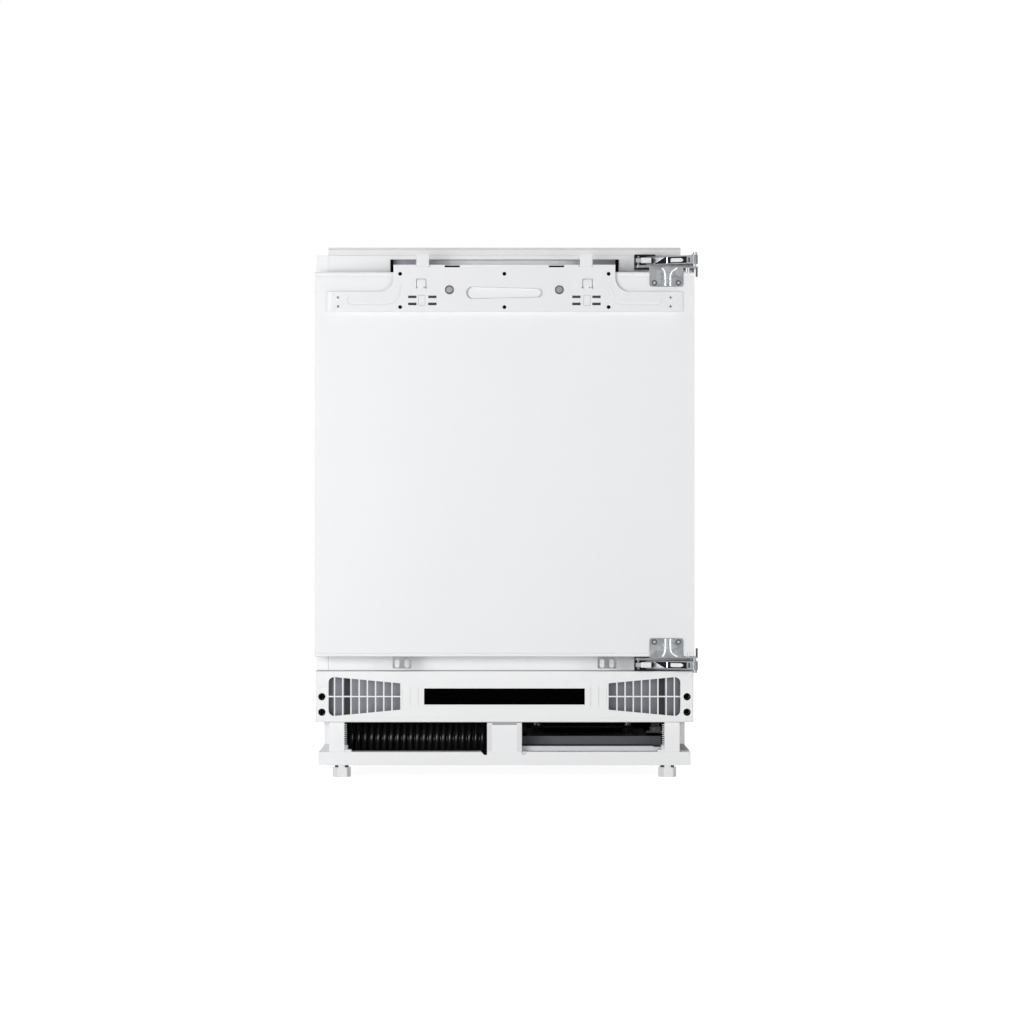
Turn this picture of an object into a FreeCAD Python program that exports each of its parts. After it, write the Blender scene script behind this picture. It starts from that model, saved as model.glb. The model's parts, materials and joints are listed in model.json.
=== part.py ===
import FreeCAD, Part
import math
import os

V = FreeCAD.Vector

# Overall size
WIDTH = 595.0
DEPTH = 548.0
BRACKET_PROUD = 8.0

# Heights of the front, from the floor up
FOOT_HEIGHT = 19.0
BAR_HEIGHT = 21.0
BAY_HEIGHT = 47.0
GRILLE_HEIGHT = 81.0
BOTTOM_GAP = 23.5
DOOR_HEIGHT = 602.0
TOP_GAP = 30.0
STRIP_HEIGHT = 12.5

# Wall thicknesses
SHEET = 1.0
LINER_WALL = 2.0
STEEL = 2.0
INSULATION = 42.0
SIDE_INSULATION = 43.0
CEILING_INSULATION = 48.5
BACK_INSULATION = 52.0

# Clearances
FIT = 0.05
SLIP = 0.3
STAND_OFF = 0.5

# Cabinet front frame
FLANGE = 19.0
TOP_TRIM_HEIGHT = 33.5
TOP_TRIM_DEPTH = 30.0
RECESS_MARGIN = 122.5
RECESS_DEPTH = 20.0
RECESS_LIP = 6.5
BOTTOM_TRIM_HEIGHT = 28.0
BOTTOM_TRIM_DEPTH = 20.0
STRIP_SETBACK = 4.0
STRIP_SHEET = 1.5
STRIP_FOOT_DEPTH = 30.0
STRIP_TOP_DEPTH = 22.0
STRIP_HOLE_R = 2.5
STRIP_HOLE_MARGIN = 77.5

# Compressor hump at the back of the cabinet floor
HUMP_DEPTH = 198.0
HUMP_HEIGHT = 82.0

# Door
DOOR_THICK = 42.0
SEAL_THICK = 9.6
SEAL_GAP = 0.4
SEAL_WIDTH = 14.0
SEAL_INSET = 9.5
TOP_CAP = 7.0
BOTTOM_CAP = 5.0
CAP_ROUND = 2.0
DYKE_GAP = 14.5
DYKE_WIDTH = 24.0
DYKE_DEPTH = 50.0
DYKE_MARGIN = 33.0
LUG_SIZE = 7.0
LUG_LENGTH = 70.0

# Door bins: height of the bottom above the door bottom, and wall height
BIN_WALL = 2.0
BIN_DEPTH = 107.0
BOTTLE_BIN_LEVEL = 37.0
BOTTLE_BIN_HEIGHT = 110.0
MIDDLE_BIN_LEVEL = 240.0
UPPER_BIN_LEVEL = 410.0
SMALL_BIN_HEIGHT = 72.0

# Shelves
SHELF_GLASS = 4.0
CRISPER_RISE = 190.0
SHELF_STEP = 120.0
SHELVES = 3
RIB_REACH = 9.0
RIB_HEIGHT = 6.0
SHELF_FRONT = 162.0
SHELF_BACK_GAP = 39.0
SHELF_TRIM_HEIGHT = 12.0
SHELF_TRIM_DEPTH = 12.0
SHELF_TRIM_DROP = 3.0

# Crisper drawer
DRAWER_SIDE_GAP = 5.0
DRAWER_WALL = 2.5
DRAWER_FRONT = 172.0
DRAWER_BACK_GAP = 20.0
DRAWER_TOP_GAP = 6.0
DRAWER_HANDLE_HALF = 70.0
DRAWER_HANDLE_REACH = 8.0
DRAWER_HANDLE_HEIGHT = 26.0

# Control housing under the ceiling of the cavity
HOUSING_HALF = 110.0
HOUSING_FRONT = 200.0
HOUSING_DEPTH = 100.0
HOUSING_HEIGHT = 38.0
HOUSING_WALL = 2.0
LENS_X = -50.0
LENS_HALF = 40.0
LENS_MARGIN = 15.0
LENS_RIM = 3.0
KNOB_X = 60.0
KNOB_R = 14.0
KNOB_DEPTH = 16.0
KNOB_SHAFT_R = 3.0
KNOB_SHAFT = 12.0

# Furniture panel bracket on the door
BRACKET_SHEET = 1.5
BRACKET_FACE = 6.5
BRACKET_MARGIN = 124.0
BRACKET_RISE = 11.2
BRACKET_ARM_MARGIN = 27.5
BRACKET_ARM_TOP = 31.0
BRACKET_DROP = 62.3
BRACKET_END_SLOPE = 10.0
BRACKET_FILLET = 22.0
BRACKET_HOLE_R = 3.0
BRACKET_HOLE_MARGIN = 10.5
BRACKET_HOLE_TOP = 3.0
BRACKET_HOLE_BOTTOM = 55.0
DOME_MARGIN = 87.5
DOME_DROP = 28.0
DOME_R = 7.0
DOME_SHANK_R = 3.0
DOME_ROUND = 1.35
NOTCH_MARGIN = 92.0
NOTCH_HALF = 11.8
NOTCH_DEEP = 4.0
WINDOW_MARGIN = 43.5
WINDOW_HALF = 7.8
WINDOW_DROP = 17.8
WINDOW_HALF_HEIGHT = 7.0
SLOT_OFFSET = 15.7
SLOT_MARGIN = 45.2
SLOT_HALF = 6.5
SLOT_HALF_HEIGHT = 2.0
SLOT_DROPS = (39.0, 50.0)
GRIP_DOME_GAP = 26.0
GRIP_DROP = 32.5
GRIP_BIG = 9.9
GRIP_SMALL = 7.4
GRIP_DEPTH = 4.5
GRIP_SIDE_SLOPE = 1.4
GRIP_END_SLOPE = 3.4
LANCE = 0.9
LANCE_R = 1.2
BEAD_WIDTH = 1.6
BEAD_PROUD = 0.8
ARM_HOLE_MARGIN = 10.0
ARM_HOLE_R = 1.8
ARM_HOLE_DROPS = (40.0, 54.0)
HANGER_MARGIN = 45.5
HANGER_HALF = 10.0
HANGER_OVERLAP = 4.0
HANGER_RISE = 16.5
HANGER_HOOK = 14.0

# Lower panel clips under the door
CLIP_MARGIN = 136.8
CLIP_HALF = 14.7
CLIP_DROP = 19.0
CLIP_FRONT = 9.0
CLIP_DEPTH = 24.0
CLIP_SCREW_BACK = 14.4
CLIP_SLOT_X = 7.6
CLIP_SLOT_HALF = 3.7
CLIP_SLOT_LENGTH = 13.6

# Multi-link hinge, seen from above: distance from the side of the door and from the door face
PIVOT_A = (-72.0, 45.0)
PIVOT_B = (0.5, 9.5)
PIVOT_C = (-87.0, 34.0)
PIVOT_D = (-8.0, 30.0)
HINGE_HEIGHT = 23.0
HINGE_SHEET = 2.0
HINGE_PIN_R = 3.0
PIN_CAP_R = 4.5
GUIDE_PIN_R = 2.0
ARM_R = 4.7
BARREL_R = 5.3
ARM_WALL = 1.8
ARM_BACK_WALL = 2.88
ARM_POCKET_END = 11.0
ARM_PANE = (41.0, 62.0)
ARM_GUSSET = (14.0, 34.0)
GUIDE_BAR = 4.0
GUIDE_END_R = 5.0
GUIDE_R = 6.0
GUIDE_SLOT_BACK = 13.3
GUIDE_SLOT_SIDE = 2.5
GUIDE_SLOT_OFFSET = 0.56
LAYER_GAP = 0.6
HINGE_BASE_LEFT = -93.0
HINGE_BASE_FRONT = 24.0
HINGE_FLANGE_END = -60.0
TAB_SHEET = 2.3
TAB_DEPTH = 35.0
TAB_DROP = 12.0
PLATE_LEFT = -70.5
PLATE_RIGHT = -17.5
PLATE_DROP = 29.5
PLATE_RIB_FOOT = 2.6
PLATE_RIB_HEAD = 7.0
PLATE_RIB_HALF = 1.2
PLATE_RIB_FORK = 8.0
PLATE_SCREW_SPACING = 37.6
PLATE_SCREW_DROP = 23.5
TOP_HINGE_GAP = 6.5
BOTTOM_HINGE_GAP = 0.3

# Fasteners
SCREW_R = 2.5
SCREW_HEAD_R = 4.3
SCREW_HEAD = 2.5

# Vent grille
GRILLE_FRONT = 30.0
GRILLE_WALL = 3.0
GRILLE_DEPTH = 34.0
VENT_MARGIN = 20.5
VENT_WIDTH = 113.0
VENT_TOP_MARGIN = 9.0
VENT_TAPER = 10.7
VENT_ROUND = 9.0
VENT_PITCH = 12.92
VENT_END_CELL = 9.5
VENT_BARS = 8
VENT_BAR = 2.0
PANE_MARGIN = 37.5
PANE_HALF_HEIGHT = 12.8
PANE_RIM = 4.0
PANE_SETBACK = 1.2
GROOVE_WIDTH = 1.0
GROOVE_DEPTH = 0.6
BOSS_MARGIN = 10.1
BOSS_R = 8.2
BOSS_BORE_R = 5.75
BOSS_FLOOR = 5.0
BOSS_RISES = (15.8, 40.2)
SHIELD_SETBACK = 2.0
SHIELD_GAP = 2.0
SHIELD_SLOT_INSET = 28.0
SHIELD_SLOT_HALF = 4.5
SHIELD_SLOT_MARGIN = 6.0

# Base frame
BAR_FRONT = 36.0
BAR_DEPTH = 28.0
BAR_MARGIN = 4.0
POST_SETBACK = 2.0
SIDE_POST_MARGIN = 17.2
SIDE_POST_WIDTH = 24.0
SIDE_POST_DEPTH = 24.0
CENTRE_POST_HALF = 27.5
CENTRE_POST_DEPTH = 20.0
CENTRE_POST_GAP = 1.0
CENTRE_NOTCH = 9.0
CENTRE_NOTCH_DROP = 5.0
CENTRE_NOTCH_DEPTH = 10.0
GUSSET_TOP_MARGIN = 9.5
GUSSET_FOOT_MARGIN = 20.5
GUSSET_HEIGHT = 11.0
RAIL_MARGIN = 8.0
RAIL_FLANGE = 17.5
EAR_REACH = 8.5
EAR_MARGIN = 5.0
REAR_BAR_BACK = 14.0
GLAND_MARGIN = 105.5
GLAND_RISE = 22.0
GLAND_R = 7.0
GLAND_FLANGE_R = 11.0
GLAND_PLATE_HALF = 18.0
GLAND_PLATE_HEIGHT = 40.0
COVER_SHEET = 1.5
COVER_GAP = 5.0
COVER_SLOT = 6.0
COVER_SLOT_HALF = 45.0
COVER_SLOT_STEP = 14.0
COVER_SLOTS = 5
COVER_SLOT_MARGIN = 135.5

# Feet
FOOT_MARGIN = 36.5
FOOT_HEX = 25.0
FOOT_HEX_ANGLE = 8.0
FOOT_HEX_HEIGHT = 15.0
FOOT_COLLAR_R = 11.0
STEM_R = 8.4
STEM_TOP_GAP = 0.5
THREAD_PITCH = 3.4
THREAD_DEPTH = 1.5
THREAD_ROOT = 0.6
THREAD_FLANK = 1.7
THREAD_CREST = 2.3
NUT_R = 12.0
NUT_HEIGHT = 10.0
NUT_PLATE = 3.0
NUT_PLATE_HALF = 15.5
NUT_PLATE_HALF_DEPTH = 10.0

# Condenser coil and fan
COIL_R = 31.0
COIL_TUBE = 5.5
COIL_END_GAP = 12.8
COIL_TURNS = 20.5
COIL_MARGIN = 39.5
COIL_DEEP = 132.0
COIL_RISE = 16.0
COIL_LEAD = 20.0
COIL_SEAT_GAP = 0.3
TRAY_WALL = 1.0
TRAY_FRONT = 61.0
TRAY_DEPTH = 154.0
TRAY_PAST_SHROUD = 6.0
TRAY_REAR = 54.0
TRAY_PIPE_GAP = 1.5
TRAY_RIB = 3.0
TRAY_RIB_OFFSET = 20.0
TRAY_RIB_START = 8.25
SHROUD_X = -20.0
SHROUD_WALL = 4.0
SHROUD_HALF = 66.0
SHROUD_HEIGHT = 108.0
FAN_RISE = 31.0
FAN_BORE_R = 46.0
COLLAR_WALL = 2.0
COLLAR_LENGTH = 29.5
FAN_HUB_R = 16.0
FAN_TIP_R = 44.0
FAN_WIDTH = 16.0
FAN_CHORD = 24.0
FAN_BLADES = 7
FAN_BLADE_WALL = 2.0
FAN_BLADE_ANGLE = 35.0
FAN_SHAFT_R = 3.0
FAN_SHAFT = 12.0
FAN_START = 4.0
MOTOR_R = 20.0
MOTOR_LENGTH = 30.0
MOTOR_GAP = 1.5
MOTOR_ARM = 4.0
MOTOR_ARMS = 3

# Compressor
PLATE_FROM = 14.5
PLATE_MARGIN = 49.5
PLATE_RISE = 8.0
UPSTAND_DEEP = 100.0
UPSTAND_HEIGHT = 13.0
COMPRESSOR_MARGIN = 106.0
COMPRESSOR_BACK = 103.0
COMPRESSOR_R = 75.0
COMPRESSOR_HEIGHT = 145.0
COMPRESSOR_TOP_R = 30.0
COMPRESSOR_FOOT_R = 45.0
SEAM_R = 79.0
SEAM_HEIGHT = 5.0
LEG_HALF_X = 85.0
LEG_HALF_Y = 60.0
LEG_SHEET = 3.0
MOUNT_X = 75.0
MOUNT_Y = 48.0
MOUNT_R = 10.0
MOUNT_HEIGHT = 9.0
STUD_R = 4.0
STUD_HEAD_R = 7.0
STUD_HEAD = 5.0
STUB_R = 4.0
DISCHARGE_X = -30.0
STUB_END = 20.0
SUCTION_DROP = 58.0
RELAY_HALF = 26.0
RELAY_INNER = 60.0
RELAY_REACH = 27.0
RELAY_HEIGHT = 60.0
BASIN_HALF_X = 70.0
BASIN_HALF_Y = 60.0
BASIN_HEIGHT = 27.0
BASIN_WALL = 2.0

# Pipes
PIPE_R = 2.75
BEND_R = 16.0
SUCTION_R = 4.0
CAPILLARY_R = 1.5
DRIER_R = 9.0
DRIER_LENGTH = 110.0
DRIER_CONE = 13.5
PIPE_CROSSING = 235.0
DRIER_BACK = 230.0
DRIER_RISE = 10.0
DRIER_BEND = 100.0
CAPILLARY_BACK = 78.0
SUCTION_MARGIN = 30.5

# Evaporator panel behind the liner
EVAPORATOR_MARGIN = 52.5
EVAPORATOR_RISE = 18.0
EVAPORATOR_TOP_GAP = 33.0
EVAPORATOR_SHEET = 1.5

# Levels and planes that follow from the sizes
BAR_TOP = FOOT_HEIGHT + BAR_HEIGHT
GRILLE_BOTTOM = BAR_TOP + BAY_HEIGHT
CAB_BOTTOM = GRILLE_BOTTOM + GRILLE_HEIGHT
DOOR_BOTTOM = CAB_BOTTOM + BOTTOM_GAP
DOOR_TOP = DOOR_BOTTOM + DOOR_HEIGHT
CAB_TOP = DOOR_TOP + TOP_GAP
STRIP_TOP = CAB_TOP + STRIP_HEIGHT
HALF = WIDTH / 2
DOOR_FACE = -(DEPTH + BRACKET_PROUD) / 2 + BRACKET_PROUD
BACK = DOOR_FACE + DEPTH


def deep(distance):
    """The y of a plane at this distance behind the door face."""
    return DOOR_FACE + distance


DOOR_REAR = deep(DOOR_THICK)
CAB_FRONT = DOOR_REAR + SEAL_THICK + SEAL_GAP
TRIM_HALF = HALF - FLANGE
TOP_TRIM_BOTTOM = CAB_TOP - TOP_TRIM_HEIGHT
BOTTOM_TRIM_TOP = CAB_BOTTOM + BOTTOM_TRIM_HEIGHT
HUMP_FRONT = BACK - HUMP_DEPTH
HUMP_TOP = CAB_BOTTOM + HUMP_HEIGHT
CAVITY_HALF = HALF - SIDE_INSULATION - LINER_WALL
CAVITY_BOTTOM = CAB_BOTTOM + INSULATION + LINER_WALL
CAVITY_TOP = CAB_TOP - CEILING_INSULATION - LINER_WALL
CAVITY_BACK = BACK - BACK_INSULATION - LINER_WALL
STEP_FRONT = HUMP_FRONT - INSULATION
STEP_TOP = HUMP_TOP + INSULATION
BAR_BACK = BAR_FRONT + BAR_DEPTH
FOOT_DEEP = BAR_FRONT + BAR_DEPTH / 2
REAR_BAR_FRONT = DEPTH - REAR_BAR_BACK - BAR_DEPTH
REAR_FOOT_DEEP = REAR_BAR_FRONT + BAR_DEPTH / 2
SHELF_DEPTH = CAVITY_BACK - deep(SHELF_FRONT) - SHELF_BACK_GAP
CRISPER_LEVEL = CAVITY_BOTTOM + CRISPER_RISE
EVAPORATOR_HALF = CAVITY_HALF - EVAPORATOR_MARGIN
EVAPORATOR_LOW = CRISPER_LEVEL + EVAPORATOR_RISE
EVAPORATOR_HIGH = CAVITY_TOP - EVAPORATOR_TOP_GAP
RECESS_HALF = HALF - RECESS_MARGIN
STRIP_HOLE_X = HALF - STRIP_HOLE_MARGIN
DYKE_OUT = CAVITY_HALF - DYKE_GAP
BRACKET_HALF = HALF - BRACKET_MARGIN
BRACKET_ARM_HALF = HALF - BRACKET_ARM_MARGIN
BRACKET_HOLE_X = BRACKET_HALF - BRACKET_HOLE_MARGIN
ARM_HOLE_X = BRACKET_ARM_HALF - ARM_HOLE_MARGIN
DOME_X = BRACKET_HALF - DOME_MARGIN
GRIP_HALF = DOME_X - GRIP_DOME_GAP
NOTCH_X = BRACKET_HALF - NOTCH_MARGIN
WINDOW_X = BRACKET_HALF - WINDOW_MARGIN
SLOT_X = BRACKET_HALF - SLOT_MARGIN
HANGER_X = BRACKET_HALF - HANGER_MARGIN
CLIP_X = HALF - CLIP_MARGIN
VENT_OUT = HALF - VENT_MARGIN
VENT_IN = VENT_OUT - VENT_WIDTH
VENT_RISE = GRILLE_HEIGHT / 2
VENT_OUT_HALF = VENT_RISE - VENT_TOP_MARGIN
VENT_IN_HALF = VENT_OUT_HALF - VENT_TAPER
PANE_HALF = VENT_IN - PANE_MARGIN
BOSS_X = HALF - BOSS_MARGIN
BAR_HALF = HALF - BAR_MARGIN
SIDE_POST_OUT = BAR_HALF - SIDE_POST_MARGIN
GUSSET_TOP = BAR_HALF - GUSSET_TOP_MARGIN
GUSSET_IN = BAR_HALF - GUSSET_FOOT_MARGIN
RAIL_OUT = BAR_HALF - RAIL_MARGIN
FOOT_X = BAR_HALF - FOOT_MARGIN
STEM_LENGTH = BAR_HEIGHT + BAY_HEIGHT - STEM_TOP_GAP
GLAND_X = GLAND_MARGIN - RAIL_OUT
GLAND_Z = BAR_TOP + GLAND_RISE
COIL_LEFT = COIL_MARGIN - RAIL_OUT
COIL_PITCH = (SHROUD_X - COIL_END_GAP - COIL_LEFT) / COIL_TURNS
TRAY_RIGHT = SHROUD_X + TRAY_PAST_SHROUD
PLATE_TO = RAIL_OUT - PLATE_MARGIN
COMPRESSOR_X = PLATE_TO - COMPRESSOR_MARGIN
COMPRESSOR_DEEP = DEPTH - COMPRESSOR_BACK
DRIER_FROM = DEPTH - DRIER_BACK
DRIER_Z = BAR_TOP + DRIER_RISE
CAPILLARY_TURN = DEPTH - CAPILLARY_BACK
SUCTION_X = RAIL_OUT - SUCTION_MARGIN
TRAY_TOP = BAR_TOP + TRAY_WALL
TRAY_FLOOR = FOOT_HEIGHT + STEEL + TRAY_WALL
COIL_Z = BAR_TOP + COIL_RISE
FAN_Z = BAR_TOP + FAN_RISE
PLATE_TOP = BAR_TOP + PLATE_RISE
LEG_BOTTOM = PLATE_TOP + MOUNT_HEIGHT
SHELL_BOTTOM = LEG_BOTTOM + LEG_SHEET
SHELL_TOP = SHELL_BOTTOM + COMPRESSOR_HEIGHT
SHIFT = V(-(PIVOT_B[0] + BARREL_R) / 2, 0, 0)

PARTS = {}


# Small builders
def slab(x, y, z):
    return Part.makeBox(x[1] - x[0], y[1] - y[0], z[1] - z[0], V(x[0], y[0], z[0]))


def rod(radius, start, axis, length):
    return Part.makeCylinder(radius, length, V(*start), V(*axis))


def sheet_profile(points, plane, start, length):
    """A closed outline extruded along the axis that is missing from its plane."""
    if plane == "xy":
        corners = [V(a, b, start) for a, b in points]
        run = V(0, 0, length)
    elif plane == "xz":
        corners = [V(a, start, b) for a, b in points]
        run = V(0, length, 0)
    else:
        corners = [V(start, a, b) for a, b in points]
        run = V(length, 0, 0)
    return Part.Face(Part.makePolygon(corners + corners[:1])).extrude(run)


def join(*shapes):
    return shapes[0].fuse(list(shapes[1:])).removeSplitter()


def trim(shape, *tools):
    return shape.cut(list(tools))


def mirrored(shape):
    return shape.mirror(V(0, 0, 0), V(1, 0, 0))


def pair(shape):
    return [shape, mirrored(shape)]


def capsule_outline(p, q, rp, rq, low):
    """A flat link seen from above: two round ends and their common tangents."""
    along = math.atan2(q[1] - p[1], q[0] - p[0])
    lean = math.acos((rp - rq) / math.hypot(q[0] - p[0], q[1] - p[1]))
    corners = []
    for (x, y), r in ((p, rp), (q, rq)):
        corners.append([V(x + r * math.cos(along + s * lean), y + r * math.sin(along + s * lean), low)
                        for s in (1, -1)])
    far_p = V(p[0] - rp * math.cos(along), p[1] - rp * math.sin(along), low)
    far_q = V(q[0] + rq * math.cos(along), q[1] + rq * math.sin(along), low)
    edges = [
        Part.Arc(corners[0][0], far_p, corners[0][1]).toShape(),
        Part.makeLine(corners[0][1], corners[1][1]),
        Part.Arc(corners[1][1], far_q, corners[1][0]).toShape(),
        Part.makeLine(corners[1][0], corners[0][0]),
    ]
    return Part.Wire(edges)


def capsule(p, q, rp, rq, low, height):
    return Part.Face(capsule_outline(p, q, rp, rq, low)).extrude(V(0, 0, height))


def upright(shape, front):
    """Stands a flat shape drawn in x and y up in x and z, with its low face at y = front."""
    shape.rotate(V(0, 0, 0), V(1, 0, 0), 90)
    shape.translate(V(0, front, 0))
    return shape


def tube(points, radius):
    """A round tube along straight runs with equal bends."""
    edges = []
    start = V(*points[0])
    for index in range(1, len(points) - 1):
        corner = V(*points[index])
        into = (corner - V(*points[index - 1])).normalize()
        out = (V(*points[index + 1]) - corner).normalize()
        turn = into.getAngle(out)
        reach = BEND_R * math.tan(turn / 2)
        first = corner - into * reach
        last = corner + out * reach
        inward = (out - into).normalize()
        middle = corner + inward * (BEND_R / math.cos(turn / 2) - BEND_R)
        edges += [Part.makeLine(start, first), Part.Arc(first, middle, last).toShape()]
        start = last
    edges.append(Part.makeLine(start, V(*points[-1])))
    path = Part.Wire(edges)
    heading = V(*points[1]) - V(*points[0])
    ring = Part.Wire(Part.makeCircle(radius, V(*points[0]), heading))
    return path.makePipeShell([ring], True, False)


def add(name, *shapes):
    solids = []
    for shape in shapes:
        solids += shape.Solids
    PARTS[name] = solids


# Cabinet shell
def side_panel():
    outline = [
        (-HALF, CAB_FRONT), (-TRIM_HALF, CAB_FRONT), (-TRIM_HALF, CAB_FRONT + SHEET),
        (-HALF + SHEET, CAB_FRONT + SHEET), (-HALF + SHEET, BACK), (-HALF, BACK),
    ]
    return sheet_profile(outline, "xy", CAB_BOTTOM, CAB_TOP - CAB_BOTTOM)


def bottom_panel():
    front = CAB_FRONT + BOTTOM_TRIM_DEPTH
    outline = [
        (front, CAB_BOTTOM), (HUMP_FRONT, CAB_BOTTOM), (HUMP_FRONT, HUMP_TOP), (BACK, HUMP_TOP),
        (BACK, HUMP_TOP + SHEET), (HUMP_FRONT - SHEET, HUMP_TOP + SHEET),
        (HUMP_FRONT - SHEET, CAB_BOTTOM + SHEET), (front, CAB_BOTTOM + SHEET),
    ]
    inner = HALF - SHEET
    return sheet_profile(outline, "yz", -inner, 2 * inner)


def cavity(grow):
    """The room inside the liner, grown outward by the liner wall."""
    outline = [
        (CAB_FRONT - grow, CAVITY_BOTTOM - grow), (STEP_FRONT + grow, CAVITY_BOTTOM - grow),
        (STEP_FRONT + grow, STEP_TOP - grow), (CAVITY_BACK + grow, STEP_TOP - grow),
        (CAVITY_BACK + grow, CAVITY_TOP + grow), (CAB_FRONT - grow, CAVITY_TOP + grow),
    ]
    half = CAVITY_HALF + grow
    return sheet_profile(outline, "yz", -half, 2 * half)


def liner_flange():
    return slab((-TRIM_HALF, TRIM_HALF), (CAB_FRONT, CAB_FRONT + LINER_WALL),
                (BOTTOM_TRIM_TOP, TOP_TRIM_BOTTOM))


def liner_body():
    front_cut = slab((-HALF, HALF), (CAB_FRONT - STEEL * 2, CAB_FRONT), (CAB_BOTTOM, CAB_TOP))
    return join(trim(cavity(LINER_WALL), front_cut), liner_flange())


def shelf_levels():
    return [CRISPER_LEVEL + SHELF_STEP * step / 2 for step in range(2 * SHELVES)]


def inner_liner():
    shell = trim(liner_body(), cavity(0))
    ribs = []
    for level in shelf_levels():
        if level + RIB_HEIGHT < CAVITY_TOP - HOUSING_HEIGHT:
            rib = slab((CAVITY_HALF - RIB_REACH, CAVITY_HALF + LINER_WALL / 2),
                       (deep(SHELF_FRONT + SHELF_TRIM_DEPTH), CAVITY_BACK - RIB_REACH),
                       (level - RIB_HEIGHT, level))
            ribs += pair(rib)
    return join(shell, *ribs)


def evaporator():
    return slab((-EVAPORATOR_HALF, EVAPORATOR_HALF),
                (CAVITY_BACK + LINER_WALL, CAVITY_BACK + LINER_WALL + EVAPORATOR_SHEET),
                (EVAPORATOR_LOW, EVAPORATOR_HIGH))


def top_trim_block():
    return slab((-TRIM_HALF, TRIM_HALF), (CAB_FRONT, CAB_FRONT + TOP_TRIM_DEPTH), (TOP_TRIM_BOTTOM, CAB_TOP))


def top_front_trim():
    recess = slab((-RECESS_HALF, RECESS_HALF), (CAB_FRONT - STEEL, CAB_FRONT + RECESS_DEPTH),
                  (TOP_TRIM_BOTTOM - STEEL, CAB_TOP - RECESS_LIP))
    return trim(top_trim_block(), recess)


def bottom_front_trim():
    return slab((-TRIM_HALF, TRIM_HALF), (CAB_FRONT, CAB_FRONT + BOTTOM_TRIM_DEPTH),
                (CAB_BOTTOM, BOTTOM_TRIM_TOP))


def cabinet_foam():
    inner = HALF - SHEET
    outline = [
        (CAB_FRONT + SHEET, CAB_BOTTOM + SHEET), (HUMP_FRONT - SHEET, CAB_BOTTOM + SHEET),
        (HUMP_FRONT - SHEET, HUMP_TOP + SHEET), (BACK - SHEET, HUMP_TOP + SHEET),
        (BACK - SHEET, CAB_TOP - SHEET), (CAB_FRONT + SHEET, CAB_TOP - SHEET),
    ]
    block = sheet_profile(outline, "yz", -inner, 2 * inner)
    return trim(block, liner_body(), top_trim_block(), bottom_front_trim(), evaporator())


def worktop_strip():
    front = CAB_FRONT + STRIP_SETBACK
    inner = front + STRIP_SHEET
    foot = front + STRIP_FOOT_DEPTH
    head = front + STRIP_TOP_DEPTH
    outline = [
        (front, CAB_TOP), (foot, CAB_TOP), (foot, CAB_TOP + STRIP_SHEET), (inner, CAB_TOP + STRIP_SHEET),
        (inner, STRIP_TOP - STRIP_SHEET), (head, STRIP_TOP - STRIP_SHEET), (head, STRIP_TOP),
        (front, STRIP_TOP),
    ]
    strip = sheet_profile(outline, "yz", -TRIM_HALF, 2 * TRIM_HALF)
    holes = []
    for side in (-1, 1):
        at = (side * STRIP_HOLE_X, strip_hole_y(), CAB_TOP + STRIP_SHEET * 2)
        holes.append(rod(STRIP_HOLE_R, at, (0, 0, 1), STRIP_HEIGHT))
    for at in strip_screw_places():
        holes.append(rod(SCREW_R + FIT, at, (0, 0, 1), STRIP_SHEET))
    return trim(strip, *holes)


def strip_hole_y():
    return CAB_FRONT + STRIP_SETBACK + STRIP_TOP_DEPTH / 2


def strip_screw_places():
    y = CAB_FRONT + STRIP_SETBACK + STRIP_FOOT_DEPTH - SCREW_HEAD_R
    return [(x, y, CAB_TOP) for x in (-STRIP_HOLE_X / 2, 0, STRIP_HOLE_X / 2)]


def screw(place, axis, sheet):
    """Shank through one sheet from its far face, and a low round head on the near face."""
    shank = rod(SCREW_R, place, axis, sheet)
    near = V(*place) + V(*axis) * sheet
    head = Part.makeCylinder(SCREW_HEAD_R, SCREW_HEAD, near, V(*axis))
    rim = [e for e in head.Edges if e.Curve.TypeId == "Part::GeomCircle"
           and (e.CenterOfMass - near).Length > SCREW_HEAD / 2]
    return join(head.makeFillet(SCREW_HEAD / 2, rim), shank)


# Shelves, drawer and control housing
def shelf_glass(level):
    front = deep(SHELF_FRONT)
    half = CAVITY_HALF - STAND_OFF * 3
    return slab((-half, half), (front, front + SHELF_DEPTH), (level, level + SHELF_GLASS))


def shelf_trim(level):
    half = CAVITY_HALF - STAND_OFF * 3
    front = deep(SHELF_FRONT) - SHELF_TRIM_DROP
    low = level - SHELF_TRIM_DROP
    block = slab((-half, half), (front, front + SHELF_TRIM_DEPTH), (low, low + SHELF_TRIM_HEIGHT))
    long_edges = [e for e in block.Edges if e.Length > half and e.CenterOfMass.y < front + STAND_OFF]
    return trim(block.makeFillet(SHELF_TRIM_DROP / 2, long_edges), shelf_glass(level))


def drawer_block(wall):
    front = deep(DRAWER_FRONT) + wall
    step = STEP_FRONT - DRAWER_SIDE_GAP - wall
    back = CAVITY_BACK - DRAWER_BACK_GAP - wall
    low = CAVITY_BOTTOM + SLIP + wall
    step_up = STEP_TOP + DRAWER_SIDE_GAP + wall
    top = CRISPER_LEVEL - DRAWER_TOP_GAP + (STEEL if wall else 0)
    outline = [(front, low), (step, low), (step, step_up), (back, step_up), (back, top), (front, top)]
    half = CAVITY_HALF - DRAWER_SIDE_GAP - wall
    return sheet_profile(outline, "yz", -half, 2 * half)


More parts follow.
